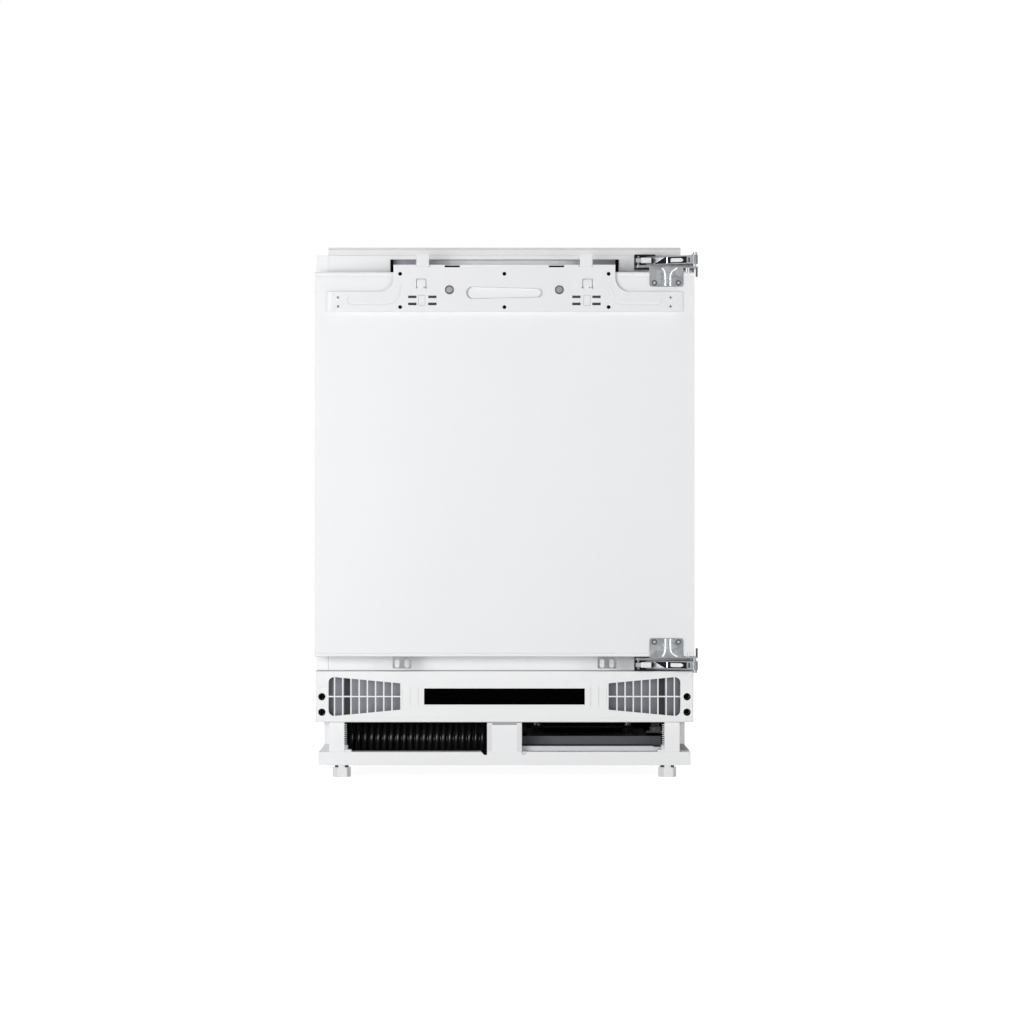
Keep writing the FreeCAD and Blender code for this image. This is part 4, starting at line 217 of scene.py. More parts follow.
# Paint, plastic and rubber: darkest and lightest tone, least and most roughness, scale of the grain, depth of the skin
# in metres and, where it isn't the usual half, the strength of the reflection
COATED = {
    "white_enamel": ((0.86, 0.865, 0.875), (0.89, 0.893, 0.9), (0.32, 0.42), 700.0, 0.00005),
    "door_enamel": ((0.828, 0.835, 0.845), (0.856, 0.861, 0.869), (0.32, 0.42), 700.0, 0.00005),
    "bracket_white": ((0.79, 0.795, 0.805), (0.82, 0.824, 0.832), (0.32, 0.42), 700.0, 0.00005),
    "white_plastic": ((0.85, 0.855, 0.862), (0.88, 0.884, 0.89), (0.4, 0.5), 1400.0, 0.00003),
    "strip_white": ((0.785, 0.79, 0.8), (0.815, 0.82, 0.83), (0.4, 0.5), 1400.0, 0.00003),
    "shade_white": ((0.73, 0.735, 0.745), (0.77, 0.774, 0.782), (0.4, 0.5), 900.0, 0.00003),
    "liner_white": ((0.84, 0.85, 0.85), (0.88, 0.885, 0.885), (0.22, 0.3), 500.0, 0.00006),
    "white_nylon": ((0.88, 0.885, 0.9), (0.93, 0.935, 0.95), (0.35, 0.45), 1500.0, 0.00003),
    "cover_nylon": ((0.76, 0.765, 0.78), (0.82, 0.825, 0.84), (0.35, 0.45), 1500.0, 0.00003),
    "frosted_plastic": ((0.82, 0.84, 0.84), (0.88, 0.9, 0.9), (0.45, 0.55), 1600.0, 0.00005),
    "foot_grey": ((0.84, 0.84, 0.84), (0.88, 0.88, 0.88), (0.42, 0.52), 1200.0, 0.00003),
    "seal_rubber": ((0.7, 0.71, 0.72), (0.76, 0.77, 0.78), (0.5, 0.62), 900.0, 0.00004),
    "grey_hem": ((0.64, 0.645, 0.65), (0.7, 0.705, 0.71), (0.4, 0.5), 900.0, 0.00003),
    # Painted shade on the left gusset and behind the middle post's right notch
    "gusset_pale": ((0.62, 0.625, 0.63), (0.68, 0.685, 0.69), (0.4, 0.5), 700.0, 0.00004),
    "bare_lip": ((0.6, 0.61, 0.64), (0.68, 0.69, 0.72), (0.3, 0.4), 700.0, 0.00003),
    # Painted shade on the end walls of the bracket's grip
    "grip_end": ((0.56, 0.563, 0.57), (0.62, 0.623, 0.63), (0.35, 0.45), 700.0, 0.00004),
    "line_grey": ((0.42, 0.422, 0.43), (0.5, 0.502, 0.51), (0.45, 0.55), 900.0, 0.00003),
    # Painted shade on the right gusset and along the middle post's top, and the print of the knob's pointer and dial
    # marks
    "gusset_grey": ((0.25, 0.25, 0.255), (0.3, 0.3, 0.305), (0.4, 0.5), 700.0, 0.00004),
    "primer_grey": ((0.075, 0.077, 0.088), (0.1, 0.102, 0.115), (0.4, 0.55), 600.0, 0.00004, 0.3),
    # Painted shade: dark grey behind the slots of the bracket and of the air shield
    "slot_grey": ((0.06, 0.062, 0.066), (0.08, 0.082, 0.087), (0.7, 0.85), 600.0, 0.0001, 0.1),
    "black_rubber": ((0.015, 0.015, 0.016), (0.03, 0.03, 0.03), (0.6, 0.75), 800.0, 0.00006),
    "black_enamel": ((0.011, 0.011, 0.012), (0.017, 0.017, 0.018), (0.12, 0.2), 500.0, 0.00002, 0.34),
    "black_plastic": ((0.004, 0.004, 0.005), (0.008, 0.008, 0.009), (0.4, 0.5), 1200.0, 0.00003, 0.12),
    # Painted shadow: black on pads and faces set where only shade falls
    "painted_shadow_black": ((0.003, 0.003, 0.003), (0.008, 0.008, 0.008), (0.9, 1.0), 1500.0, 0.0001, 0.0),
    "window_black": ((0.0006, 0.0006, 0.0007), (0.0012, 0.0012, 0.0013), (0.6, 0.7), 900.0, 0.00002, 0.0),
    "foam": ((0.78, 0.7, 0.45), (0.86, 0.78, 0.52), (0.8, 0.9), 260.0, 0.0004),
    # Painted shade for the two ends of the recess above the door
    "recess_painted_shade": ((0.26, 0.257, 0.3), (0.38, 0.375, 0.415), (0.85, 0.95), 420.0, 0.0003, 0.1),
}
# Plated and bare metal: darkest and lightest flake, least and most roughness, scale of the flakes
PLATED = {
    "zinc_steel": ((0.33, 0.345, 0.36), (0.39, 0.4, 0.415), (0.22, 0.32), 220.0),
    "galvanised": ((0.3, 0.31, 0.345), (0.34, 0.35, 0.385), (0.3, 0.42), 70.0),
    "aluminium": ((0.74, 0.745, 0.75), (0.8, 0.805, 0.81), (0.3, 0.4), 40.0),
    "painted_pipe": ((0.72, 0.38, 0.24), (0.82, 0.48, 0.32), (0.24, 0.36), 90.0),
    # Painted highlight along the door plates' beads and the arms' pins
    "zinc_painted_highlight": ((0.8, 0.81, 0.82), (0.9, 0.905, 0.91), (0.16, 0.24), 300.0),
    # The next three: zinc darkened to paint shade, the dark reflection on the hinge's cast parts and door plates and
    # the shading on the lower clips; the bracket's pressed dots wear the clips' tone too
    "cast_zinc": ((0.155, 0.16, 0.17), (0.2, 0.205, 0.215), (0.36, 0.46), 340.0),
    "plate_zinc": ((0.2, 0.212, 0.222), (0.32, 0.33, 0.345), (0.2, 0.4), 150.0),
    "clip_steel": ((0.15, 0.155, 0.16), (0.21, 0.215, 0.22), (0.32, 0.42), 260.0),
    "shield_grey": ((0.143, 0.148, 0.166), (0.161, 0.166, 0.184), (0.34, 0.46), 70.0),
    # Painted shade round the screw heads; the hinge pin's tail wears it too
    "screw_rim": ((0.06, 0.061, 0.064), (0.09, 0.091, 0.095), (0.35, 0.45), 300.0),
    "screw_face": ((0.172, 0.176, 0.18), (0.222, 0.226, 0.23), (0.38, 0.48), 300.0),
    "screw_bright": ((0.29, 0.293, 0.296), (0.35, 0.353, 0.356), (0.3, 0.4), 260.0),
}
# See-through pieces: tint, least and most roughness, bend of the light
CLEAR = {
    "shelf_glass": ((0.93, 0.98, 0.96), (0.02, 0.05), 1.5),
    "clear_plastic": ((0.95, 0.97, 0.98), (0.05, 0.1), 1.46),
}
FINISHES = {name: coated(name, *values) for name, values in COATED.items()}
FINISHES.update({name: plated(name, *values) for name, values in PLATED.items()})
FINISHES.update({name: clear(name, *values) for name, values in CLEAR.items()})


def fade_along(finish, axis, span, colour, both_ways=False):
    """Another colour over a finish up to the span's start along an axis, gone at its end. Returns the share left."""
    tree = FINISHES[finish].node_tree
    base = tree.nodes["Principled BSDF"].inputs["Base Color"]
    own = base.links[0].from_socket
    split = tree.nodes.new("ShaderNodeSeparateXYZ")
    tree.links.new(place_of(tree), split.inputs[0])
    along = split.outputs[axis]
    if both_ways:
        aside = tree.nodes.new("ShaderNodeMath")
        aside.operation = "ABSOLUTE"
        tree.links.new(along, aside.inputs[0])
        along = aside.outputs[0]
    fade = tree.nodes.new("ShaderNodeMapRange")
    fade.inputs["From Min"].default_value, fade.inputs["From Max"].default_value = span
    tree.links.new(along, fade.inputs["Value"])
    tree.links.new(blend_colours(tree, fade.outputs["Result"], colour, own), base)
    return fade.outputs["Result"]


def paint_pipe():
    """Black paint on the copper pipe where it runs at the front of the base."""
    bare = fade_along("painted_pipe", "Y", (0.1, 0.11), rgb(0.004, 0.004, 0.0045))
    tree = FINISHES["painted_pipe"].node_tree
    tree.links.new(bare, tree.nodes["Principled BSDF"].inputs["Metallic"])


# Painted shade in the recess above the door: dark at its two ends, fading to pale towards the middle
fade_along("recess_painted_shade", "X", (0.088, 0.118), rgb(0.85, 0.855, 0.875), both_ways=True)
paint_pipe()

# Nodes that wear another finish than their slot's
OWN_FINISH = {
    "refrigerant_pipes": "painted_pipe", "hinge_arms": "cast_zinc", "hinge_bases": "cast_zinc",
    "hinge_guide_links": "cast_zinc", "hinge_door_plates": "plate_zinc", "air_shield": "shield_grey",
    "vent_window": "window_black", "lower_panel_clips": "clip_steel", "compressor_plate": "primer_grey",
    "panel_bracket": "bracket_white", "panel_hangers": "bracket_white", "door_skin": "door_enamel",
    "worktop_strip": "strip_white"}


def give(piece, finish):
    piece.data.materials.clear()
    piece.data.materials.append(FINISHES[finish])


for name, node in NODES.items():
    give(node, OWN_FINISH.get(name, SLOT_OF[name]))


# Modelling helpers
def deselect():
    if bpy.context.object and bpy.context.object.mode != "OBJECT":
        bpy.ops.object.mode_set(mode="OBJECT")
    bpy.ops.object.select_all(action="DESELECT")


def take(piece):
    """Makes one piece the only selected and the active one."""
    deselect()
    piece.select_set(True)
    bpy.context.view_layer.objects.active = piece


def edit_all(piece):
    take(piece)
    bpy.ops.object.mode_set(mode="EDIT")
    bpy.ops.mesh.select_all(action="SELECT")


def done_editing():
    bpy.ops.object.mode_set(mode="OBJECT")


def soften(piece, width, segments=2, angle=SHARP):
    """Rounds the sharp edges of a piece."""
    take(piece)
    edge = piece.modifiers.new("edge", "BEVEL")
    edge.width = width
    edge.segments = segments
    edge.limit_method = "ANGLE"
    edge.angle_limit = math.radians(angle)
    edge.use_clamp_overlap = True
    bpy.ops.object.modifier_apply(modifier="edge")
    bpy.ops.object.shade_smooth_by_angle(angle=math.radians(angle))
    flats = piece.modifiers.new("flats", "WEIGHTED_NORMAL")
    flats.keep_sharp = True
    flats.weight = 100
    bpy.ops.object.modifier_apply(modifier="flats")


def settle(piece, body, slot, *replaced):
    """Puts a finished piece on its body, gives it its slot's finish if it has none, and hides what it stands for."""
    if not piece.data.materials:
        give(piece, slot)
    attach(piece, body)
    if replaced:
        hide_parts(*replaced)
    return piece


def dress(pieces, width, body, slot, finish=None, segments=2):
    """Rounds pieces by a width in metres, gives them their finish and settles them."""
    for piece in pieces:
        soften(piece, width, segments)
        if finish:
            give(piece, finish)
        settle(piece, body, slot)


def rounded(node, width):
    """A solid with its sharp edges rounded, in place of the sharp one."""
    piece = bpy.data.objects.new("rounded_" + node, NODES[node].data.copy())
    bpy.context.scene.collection.objects.link(piece)
    edit_all(piece)
    bpy.ops.mesh.customdata_custom_splitnormals_clear()
    bpy.ops.mesh.remove_doubles(threshold=MERGE)
    bpy.ops.mesh.dissolve_limited(angle_limit=FLAT)
    done_editing()
    soften(piece, width)
    return settle(piece, BODY_OF[node], SLOT_OF[node], node)


def add_finish(piece, finish):
    """Adds a finish to a piece and returns its number."""
    piece.data.materials.append(FINISHES[finish])
    return len(piece.data.materials) - 1


def face_finish(piece, finish, test):
    """Gives the faces that pass a test, by their centre and normal, a finish of their own."""
    number = add_finish(piece, finish)
    for face in piece.data.polygons:
        if test(face.center, face.normal):
            face.material_index = number


# Camera, floor, backdrop and light
SENSOR, LENS, FARTHEST = 36.0, 123.5, 100.0
EYE = (0.009, -5.770, 0.418)
FLOOR_SIZE, FLOOR_GLOW = 60.0, 0.945
FLOOR_LIT, FLOOR_SEEN = rgb(0.9, 0.9, 0.9), rgb(0.3, 0.3, 0.3)
WORLD_LIGHT, WORLD_SEEN = 0.2, 1.0
# Name, place, target, size and power of each lamp
LAMPS = [
    ("key_left", (-1.7, -3.7, 0.5), (0, 0, 0.42), (2.0, 1.4), 89.0),
    ("fill_right", (2.6, -3.4, 0.5), (0, 0, 0.42), (2.6, 1.4), 41.0),
    ("top_back", (0.0, 1.0, 2.8), (0, 0, 0.6), (1.6, 1.6), 30.0),
    ("back_left", (-2.4, 3.2, 1.0), (0, 0, 0.42), (2.0, 1.4), 60.0)]


def camera():
    data = bpy.data.cameras.new("photo_camera")
    data.sensor_width = SENSOR
    data.lens = LENS
    data.clip_end = FARTHEST
    eye = bpy.data.objects.new("photo_camera", data)
    bpy.context.scene.collection.objects.link(eye)
    eye.location = EYE
    eye.rotation_euler = (math.radians(90), 0, 0)
    bpy.context.scene.camera = eye


def by_eye(tree, lit, seen, target):
    """One shader for the light that a surface gives, another for rays from the eye, a mirror or glass."""
    path = tree.nodes.new("ShaderNodeLightPath")
    total = path.outputs["Is Camera Ray"]
    for label in ("Is Glossy Ray", "Is Transmission Ray"):
        node = tree.nodes.new("ShaderNodeMath")
        node.operation = "MAXIMUM"
        tree.links.new(total, node.inputs[0])
        tree.links.new(path.outputs[label], node.inputs[1])
        total = node.outputs[0]
    pick = tree.nodes.new("ShaderNodeMixShader")
    for source, socket in zip((total, lit.outputs[0], seen.outputs[0]), pick.inputs):
        tree.links.new(source, socket)
    tree.links.new(pick.outputs[0], target.inputs["Surface"])


def floor():
    bpy.ops.mesh.primitive_plane_add(size=FLOOR_SIZE, location=(0, 0, 0))
    plane = bpy.context.object
    plane.name = "studio_floor"
    material = bpy.data.materials.new("studio_floor")
    material.use_nodes = True
    tree = material.node_tree
    tree.nodes.remove(tree.nodes["Principled BSDF"])
    matt = tree.nodes.new("ShaderNodeBsdfDiffuse")
    matt.inputs["Color"].default_value = FLOOR_LIT
    tinted = tree.nodes.new("ShaderNodeBsdfDiffuse")
    tinted.inputs["Color"].default_value = FLOOR_SEEN
    glow = tree.nodes.new("ShaderNodeEmission")
    glow.inputs["Strength"].default_value = FLOOR_GLOW
    both = tree.nodes.new("ShaderNodeAddShader")
    tree.links.new(tinted.outputs[0], both.inputs[0])
    tree.links.new(glow.outputs[0], both.inputs[1])
    by_eye(tree, matt, both, tree.nodes["Material Output"])
    plane.data.materials.append(material)


def backdrop():
    world = bpy.data.worlds.new("studio")
    world.use_nodes = True
    bpy.context.scene.world = world
    tree = world.node_tree
    soft = tree.nodes["Background"]
    white = tree.nodes.new("ShaderNodeBackground")
    for node, strength in ((soft, WORLD_LIGHT), (white, WORLD_SEEN)):
        node.inputs["Color"].default_value = rgb(1, 1, 1)
        node.inputs["Strength"].default_value = strength
    by_eye(tree, soft, white, tree.nodes["World Output"])


def lamp(name, place, target, size, power):
    data = bpy.data.lights.new(name, "AREA")
    data.shape = "RECTANGLE"
    data.size, data.size_y = size
    data.energy = power
    light = bpy.data.objects.new(name, data)
    bpy.context.scene.collection.objects.link(light)
    light.location = place
    light.rotation_euler = (Vector(target) - Vector(place)).to_track_quat("-Z", "Y").to_euler()


# Pieces that keep their solid's shape, with the edge rounding of the real sheet or moulding, in metres
EDGES = {
    0.0001: ["door_screws", "cabinet_screws"],
    0.0002: ["hinge_guide_links"],
    0.0003: ["panel_bracket", "panel_hangers", "lower_panel_clips", "hinge_bases", "hinge_door_plates", "hinge_arms",
             "vent_grille", "vent_window", "air_shield", "compartment_cover", "top_panel", "bottom_panel",
             "left_side_panel", "right_side_panel", "worktop_strip", "door_skin"],
    0.0006: ["base_front_frame", "base_rail_left", "base_rail_right", "base_rear_bar", "compressor_plate",
             "top_front_trim", "bottom_front_trim", "control_housing", "glass_shelves", "shelf_trims", "crisper_drawer",
             "bottle_bin", "middle_bin", "upper_bin", "condenser_tray", "fan_shroud", "drip_tray", "foot_nuts",
             "cord_gland", "door_bottom_cap", "door_top_cap"],
    0.0008: ["front_left_foot", "front_right_foot", "rear_left_foot", "rear_right_foot", "relay_box",
             "thermostat_knob", "door_liner", "inner_liner"],
}
ROUNDED = {name: rounded(name, width) for width, names in EDGES.items() for name in names}

# Points, spans, paths and profiles are in millimetres: across from the door's middle, deep from its face, height above
# the floor. Rims, moves, shifts, edge widths and the radii of lines are in metres.
DOOR_LOW, DOOR_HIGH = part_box("door_skin")
MIDDLE = (DOOR_LOW[0] + DOOR_HIGH[0]) / 2
SIDE = (DOOR_HIGH[0] - DOOR_LOW[0]) * MILLI / 2
DOOR_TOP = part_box("door_top_cap")[1][2] * MILLI
DOOR_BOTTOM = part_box("door_bottom_cap")[0][2] * MILLI


def at(across, deep, height):
    return (MIDDLE + across / MILLI, DOOR_LOW[1] + deep / MILLI, height / MILLI)


def set_in_place(piece, place=(0, 0, 0), turn=(0, 0, 0), scale=(1, 1, 1)):
    """Moves a piece and keeps the move in its mesh."""
    take(piece)
    piece.location, piece.rotation_euler, piece.scale = place, turn, scale
    bpy.ops.object.transform_apply(location=True, rotation=True, scale=True)
    return piece


def block(name, low, high):
    """A block between two corners, to be shaped further."""
    deselect()
    bpy.ops.mesh.primitive_cube_add(size=1.0)
    piece = bpy.context.object
    piece.name = name
    return set_in_place(piece, [(a + b) / 2 for a, b in zip(low, high)], scale=[b - a for a, b in zip(low, high)])


def slab(name, across, deep, height):
    """A block by its spans in millimetres, in the frame of the door's face."""
    return block(name, at(across[0], deep[0], height[0]), at(across[1], deep[1], height[1]))


def looks(side):
    """A test for faces that look to one side."""
    axis, sign = side
    return lambda centre, normal: normal[axis] * sign > FACING


def pick_faces(piece, test):
    """Opens a piece for editing with the faces that pass a test selected."""
    edit_all(piece)
    bpy.ops.mesh.select_mode(type="FACE")
    bpy.ops.mesh.select_all(action="DESELECT")
    done_editing()
    for face in piece.data.polygons:
        face.select = test(face.center, face.normal)
    bpy.ops.object.mode_set(mode="EDIT")


def draw_out(axis, move):
    """Extrudes what is selected along an axis."""
    step = [0.0, 0.0, 0.0]
    step[axis] = move
    bpy.ops.mesh.extrude_region_move(TRANSFORM_OT_translate={"value": step})


def stepped(piece, test, axis, *steps):
    """Frames the faces that pass a test: each step insets them by a rim and moves the inside along an axis."""
    pick_faces(piece, test)
    for rim, move in steps:
        bpy.ops.mesh.inset(thickness=rim)
        if move:
            draw_out(axis, move)
    done_editing()


def framed(piece, side, *steps):
    stepped(piece, looks(side), side[0], *steps)


def tapered(piece, side, shares, centre):
    """Scales the faces on one side of a piece about a centre."""
    pick_faces(piece, looks(side))
    bpy.ops.transform.resize(value=shares, center_override=centre)
    done_editing()


def right_side_out(piece):
    edit_all(piece)
    bpy.ops.mesh.normals_make_consistent(inside=False)
    done_editing()


def turned(name, profile, place, axis, sides):
    """A round piece: a disc drawn out ring by ring, as (radius, height) in millimetres, along an axis."""
    deselect()
    radius, height = profile[0]
    bpy.ops.mesh.primitive_circle_add(vertices=sides, radius=radius / MILLI, fill_type="NGON")
    piece = bpy.context.object
    piece.name = name
    set_in_place(piece, (0, 0, height / MILLI))
    edit_all(piece)
    for wider, higher in profile[1:]:
        draw_out(2, (higher - height) / MILLI)
        share = wider / radius
        bpy.ops.transform.resize(value=(share, share, 1), center_override=(0, 0, higher / MILLI))
        radius, height = wider, higher
    right_side_out(piece)
    return set_in_place(piece, place, Vector(axis).to_track_quat("Z", "Y").to_euler())


def drawn_bead(name, points, radius):
    """A round bead drawn along a smooth line, half of it sunk in the sheet that carries it."""
    line = bpy.data.curves.new(name, "CURVE")
    line.dimensions = "3D"
    line.bevel_depth = radius
    line.bevel_resolution = 3
    line.use_fill_caps = True
    run = line.splines.new("NURBS")
    run.points.add(len(points) - 1)
    for spot, point in zip(run.points, points):
        spot.co = (*point, 1.0)
    run.order_u = 3
    run.use_endpoint_u = True
    piece = bpy.data.objects.new(name, line)
    bpy.context.scene.collection.objects.link(piece)
    take(piece)
    bpy.ops.object.convert(target="MESH")
    return bpy.context.object


def joined(name, pieces):
    deselect()
    for piece in pieces:
        piece.select_set(True)
    bpy.context.view_layer.objects.active = pieces[0]
    bpy.ops.object.join()
    whole = bpy.context.object
    whole.name = name
    return whole


def copy_of(piece, name, move=(0, 0, 0)):
    twin = bpy.data.objects.new(name, piece.data.copy())
    bpy.context.scene.collection.objects.link(twin)
    return set_in_place(twin, move)


def mirrored(piece, name, place, scale):
    twin = set_in_place(copy_of(piece, name), place, scale=scale)
    right_side_out(twin)
    return twin


# Door seal: a hollow ring with a bellows fold and a magnet pocket, as (inset, depth) in millimetres
SEAL_PROFILE = [
    (1.4, 0.0), (12.6, 0.0), (13.0, 0.9), (10.4, 2.2), (12.9, 3.6), (13.6, 4.6), (13.6, 8.7), (12.8, 9.6), (7.4, 9.6),
    (7.0, 9.2), (6.6, 9.6), (1.4, 9.6), (0.6, 8.7), (0.6, 5.0), (1.6, 4.0), (3.6, 2.8), (1.0, 1.2)]
SEAL_EDGE, SEAL_SHARP = 0.0003, 20.0


def door_seal():
    low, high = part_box("door_gasket")
    sides = (high[0] - low[0], high[2] - low[2])
    middle = [(low[0] + high[0]) / 2, low[1], (low[2] + high[2]) / 2]
    depth = (high[1] - low[1]) / max(deep for _, deep in SEAL_PROFILE)

    def across(inset):
        return [side - 2 * inset / MILLI for side in sides]

    inset, reach = SEAL_PROFILE[0]
    deselect()
    bpy.ops.mesh.primitive_plane_add(size=1.0)
    piece = bpy.context.object
    piece.name = "door_seal"
    set_in_place(piece, middle, (math.radians(90), 0, 0), (*across(inset), 1))
    edit_all(piece)
    bpy.ops.mesh.delete(type="ONLY_FACE")
    bpy.ops.mesh.select_all(action="SELECT")
    for further, deeper in SEAL_PROFILE[1:]:
        bpy.ops.mesh.extrude_edges_move(TRANSFORM_OT_translate={"value": (0, (deeper - reach) * depth, 0)})
        wide, tall = [new / old for new, old in zip(across(further), across(inset))]
        bpy.ops.transform.resize(value=(wide, 1, tall), center_override=middle)
        inset, reach = further, deeper
    bpy.ops.mesh.select_all(action="DESELECT")
    bpy.ops.mesh.select_mode(type="EDGE")
    bpy.ops.mesh.select_non_manifold(extend=False, use_wire=False, use_multi_face=False, use_non_contiguous=False,
                                     use_verts=False)
    bpy.ops.mesh.bridge_edge_loops()
    right_side_out(piece)
    soften(piece, SEAL_EDGE, angle=SEAL_SHARP)
    settle(piece, "door", "seal_rubber", "door_gasket")


# Dark pads that paint the shade in the two ends of the recess above the door, thinned towards the middle, and a black
# strip of painted shadow beside each
RECESS_END, SHADE_PAD_END, SHADOW_STRIP_END = 175.0, 86.0, 180.25
SHADE_PAD_DEEP, SHADE_PAD_HEIGHT = (60.0, 71.9), (790.5, 816.9)
SHADOW_STRIP_DEEP, SHADOW_STRIP_HEIGHT = (48.5, 52.3), (797.0, 816.8)


def recess_shade_pads():
    for name, sign, inner in (("left", -1, RIGHT), ("right", 1, LEFT)):
        pad = slab("recess_shade_pad_" + name, sorted((sign * RECESS_END, sign * SHADE_PAD_END)), SHADE_PAD_DEEP, SHADE_PAD_HEIGHT)
        tapered(pad, inner, (1, 0.1, 1), at(sign * SHADE_PAD_END, SHADE_PAD_DEEP[1], SHADE_PAD_HEIGHT[0]))
        dress([pad], 0.0012, "cabinet", "black_rubber", "recess_painted_shade", 3)
        stop = slab("recess_shadow_strip_" + name, sorted((sign * RECESS_END, sign * SHADOW_STRIP_END)), SHADOW_STRIP_DEEP, SHADOW_STRIP_HEIGHT)
        framed(stop, FRONT, (0.0008, -0.0006))
        dress([stop], 0.0004, "cabinet", "black_rubber", "painted_shadow_black")


# White covers over the insulation at the top corners and in the floor of the recess
COVER_EDGE, CAP_HEIGHT = 0.0003, 0.003
RECESS_FLOOR = ((-174.8, 174.8), (52.6, 71.8), (788.6, 790.6))


def foam_covers():
    low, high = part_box("top_front_trim")
    outer_low, outer_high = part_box("top_panel")
    cap = block("corner_cap", (high[0] + COVER_EDGE, low[1] + COVER_EDGE, high[2] - CAP_HEIGHT),
                (outer_high[0] + 2 * COVER_EDGE, high[1] + COVER_EDGE, high[2]))
    framed(cap, TOP, (0.002, -COVER_EDGE))
    twin = copy_of(cap, "corner_cap_left", (outer_low[0] - high[0] - 3 * COVER_EDGE, 0, 0))
    tray = slab("recess_floor", *RECESS_FLOOR)
    framed(tray, TOP, (0.0015, -COVER_EDGE))
    dress([cap, twin, tray], COVER_EDGE, "cabinet", SLOT_OF["top_front_trim"])


# Painted shadow: black pads behind the bracket's holes and grey pads behind its slots: spans across and from the door's
# top
HOLE_SHADOW_DEEP = (-4.95, -3.6)
HOLE_SHADOW_SPANS = [((-167.0, 167.0), (-8.0, 9.6)), ((-167.0, 167.0), (-60.5, -50.6))]
SLOT_SHADOW_SPANS = [((-159.0, -99.0), (-50.4, -35.0)), ((99.0, 159.0), (-50.4, -35.0))]


def bracket_hole_shadows():
    for name, spans, finish in (("bracket_hole_shadows", HOLE_SHADOW_SPANS, "painted_shadow_black"), ("slot_shadows", SLOT_SHADOW_SPANS, "slot_grey")):
        pads = [slab("shadow_pad", across, HOLE_SHADOW_DEEP, [DOOR_TOP + rise for rise in rises]) for across, rises in spans]
        dress([joined(name, pads)], 0.0004, "door", "black_rubber", finish)


# Hinge dress, from the door's side, the door's face and the hinge's own foot
HINGE_FOOT = DOOR_TOP + 6.5
HINGE_MIRROR = (HINGE_FOOT + DOOR_BOTTOM - 0.3) / MILLI
# The arm's own frame: its root, its turn and the height of its middle
ARM_ROOT = (-72.0, 45.0)
ARM_TURN = math.atan2(-35.5, 72.5)
ARM_MIDDLE = (HINGE_FOOT + 14) / MILLI
# The arm's pocket and the slide, web and slot in it: spans along, across and up the arm
ARM_LINER = ((11.4, 69.2), (1.9, 2.5), (8.9, 19.0))
ARM_SLIDE = ((40.5, 58.0), (-1.2, 2.0), (10.8, 17.2))
ARM_WEB = ((11.4, 12.4), (-3.6, 2.2), (8.9, 19.0))
ARM_END_SLOT = ((72.6, 75.2), (-5.32, -4.2), (9.6, 17.4))
ARM_PIN = [(1.1, 8.9), (1.5, 9.3), (1.5, 18.6), (1.1, 19.0)]
# Places along the arm in metres: the slide's nose, the web's far end above and below, the pin
SLIDE_NOSE, SLIDE_TIP = 0.0035, (0.0615, 0.002, ARM_MIDDLE)
WEB_TOP, WEB_FOOT = 0.0325, 0.0135
ARM_PIN_PLACE = (0.0345, -0.0012, HINGE_FOOT / MILLI)
# The base's pieces: spans across, deep and up
BASE_STEM = ((-91.5, -78.0), (26.0, 29.0), (10.4, 17.4))
BASE_COVER = ((-82.6, -66.6), (24.6, 31.5), (9.6, 18.0))
BASE_LINING = ((-91.0, -78.5), (37.2, 38.2), (7.4, 20.9))
# The door plate's beads, and the pieces at its pins
PLATE_MIDDLE, PLATE_FACE, PLATE_BEAD = -44.0, -2.3, 0.0015
BEAD_ENDS = (("left", -1.6, -6.6), ("right", 6.2, 17.5))
# A bead's way from its foot to its head: the share of the step aside, and the rise
BEAD_PATH = [(0, -28.4), (0, -20.0), (0, -12.0), (0.1, -7.0), (0.55, -2.6), (1, -0.4)]
PIN_TAIL = [(1.1, -13.2), (1.6, -12.6), (1.6, -1.2), (1.2, 0.05)]
BARREL_CAP = [(3.0, 20.3), (3.3, 20.7), (3.3, 25.0), (3.0, 25.4), (1.4, 25.5)]
PIN_TAIL_X, BARREL_CAP_X, PIN_DEEP = 4.1, 1.4, 9.5
TONGUE_STOPS, TONGUE_STOP_WIDTH = (-13.6, -10.4), 2.4
TONGUE_STOP_DEEP, TONGUE_STOP_RISE = (-2.0, 1.9), (-11.2, -0.1)


def hinge_block(name, x, deep, rise):
    return slab(name, [SIDE + value for value in x], deep, [HINGE_FOOT + value for value in rise])


def arm_block(name, along, across, rise):
    corners = [(a / MILLI, b / MILLI, (HINGE_FOOT + c) / MILLI) for a, b, c in zip(along, across, rise)]
    return block(name, *corners)


def on_arm(piece):
    return set_in_place(piece, at(SIDE + ARM_ROOT[0], ARM_ROOT[1], 0), (0, 0, ARM_TURN))


def both_hinges(piece, width, body, slot, finish=None, segments=2):
    """The piece at the top hinge, and its mirror image at the bottom one."""
    twin = mirrored(piece, piece.name + "_low", (0, 0, HINGE_MIRROR), (1, 1, -1))
    dress([piece, twin], width, body, slot, finish, segments)


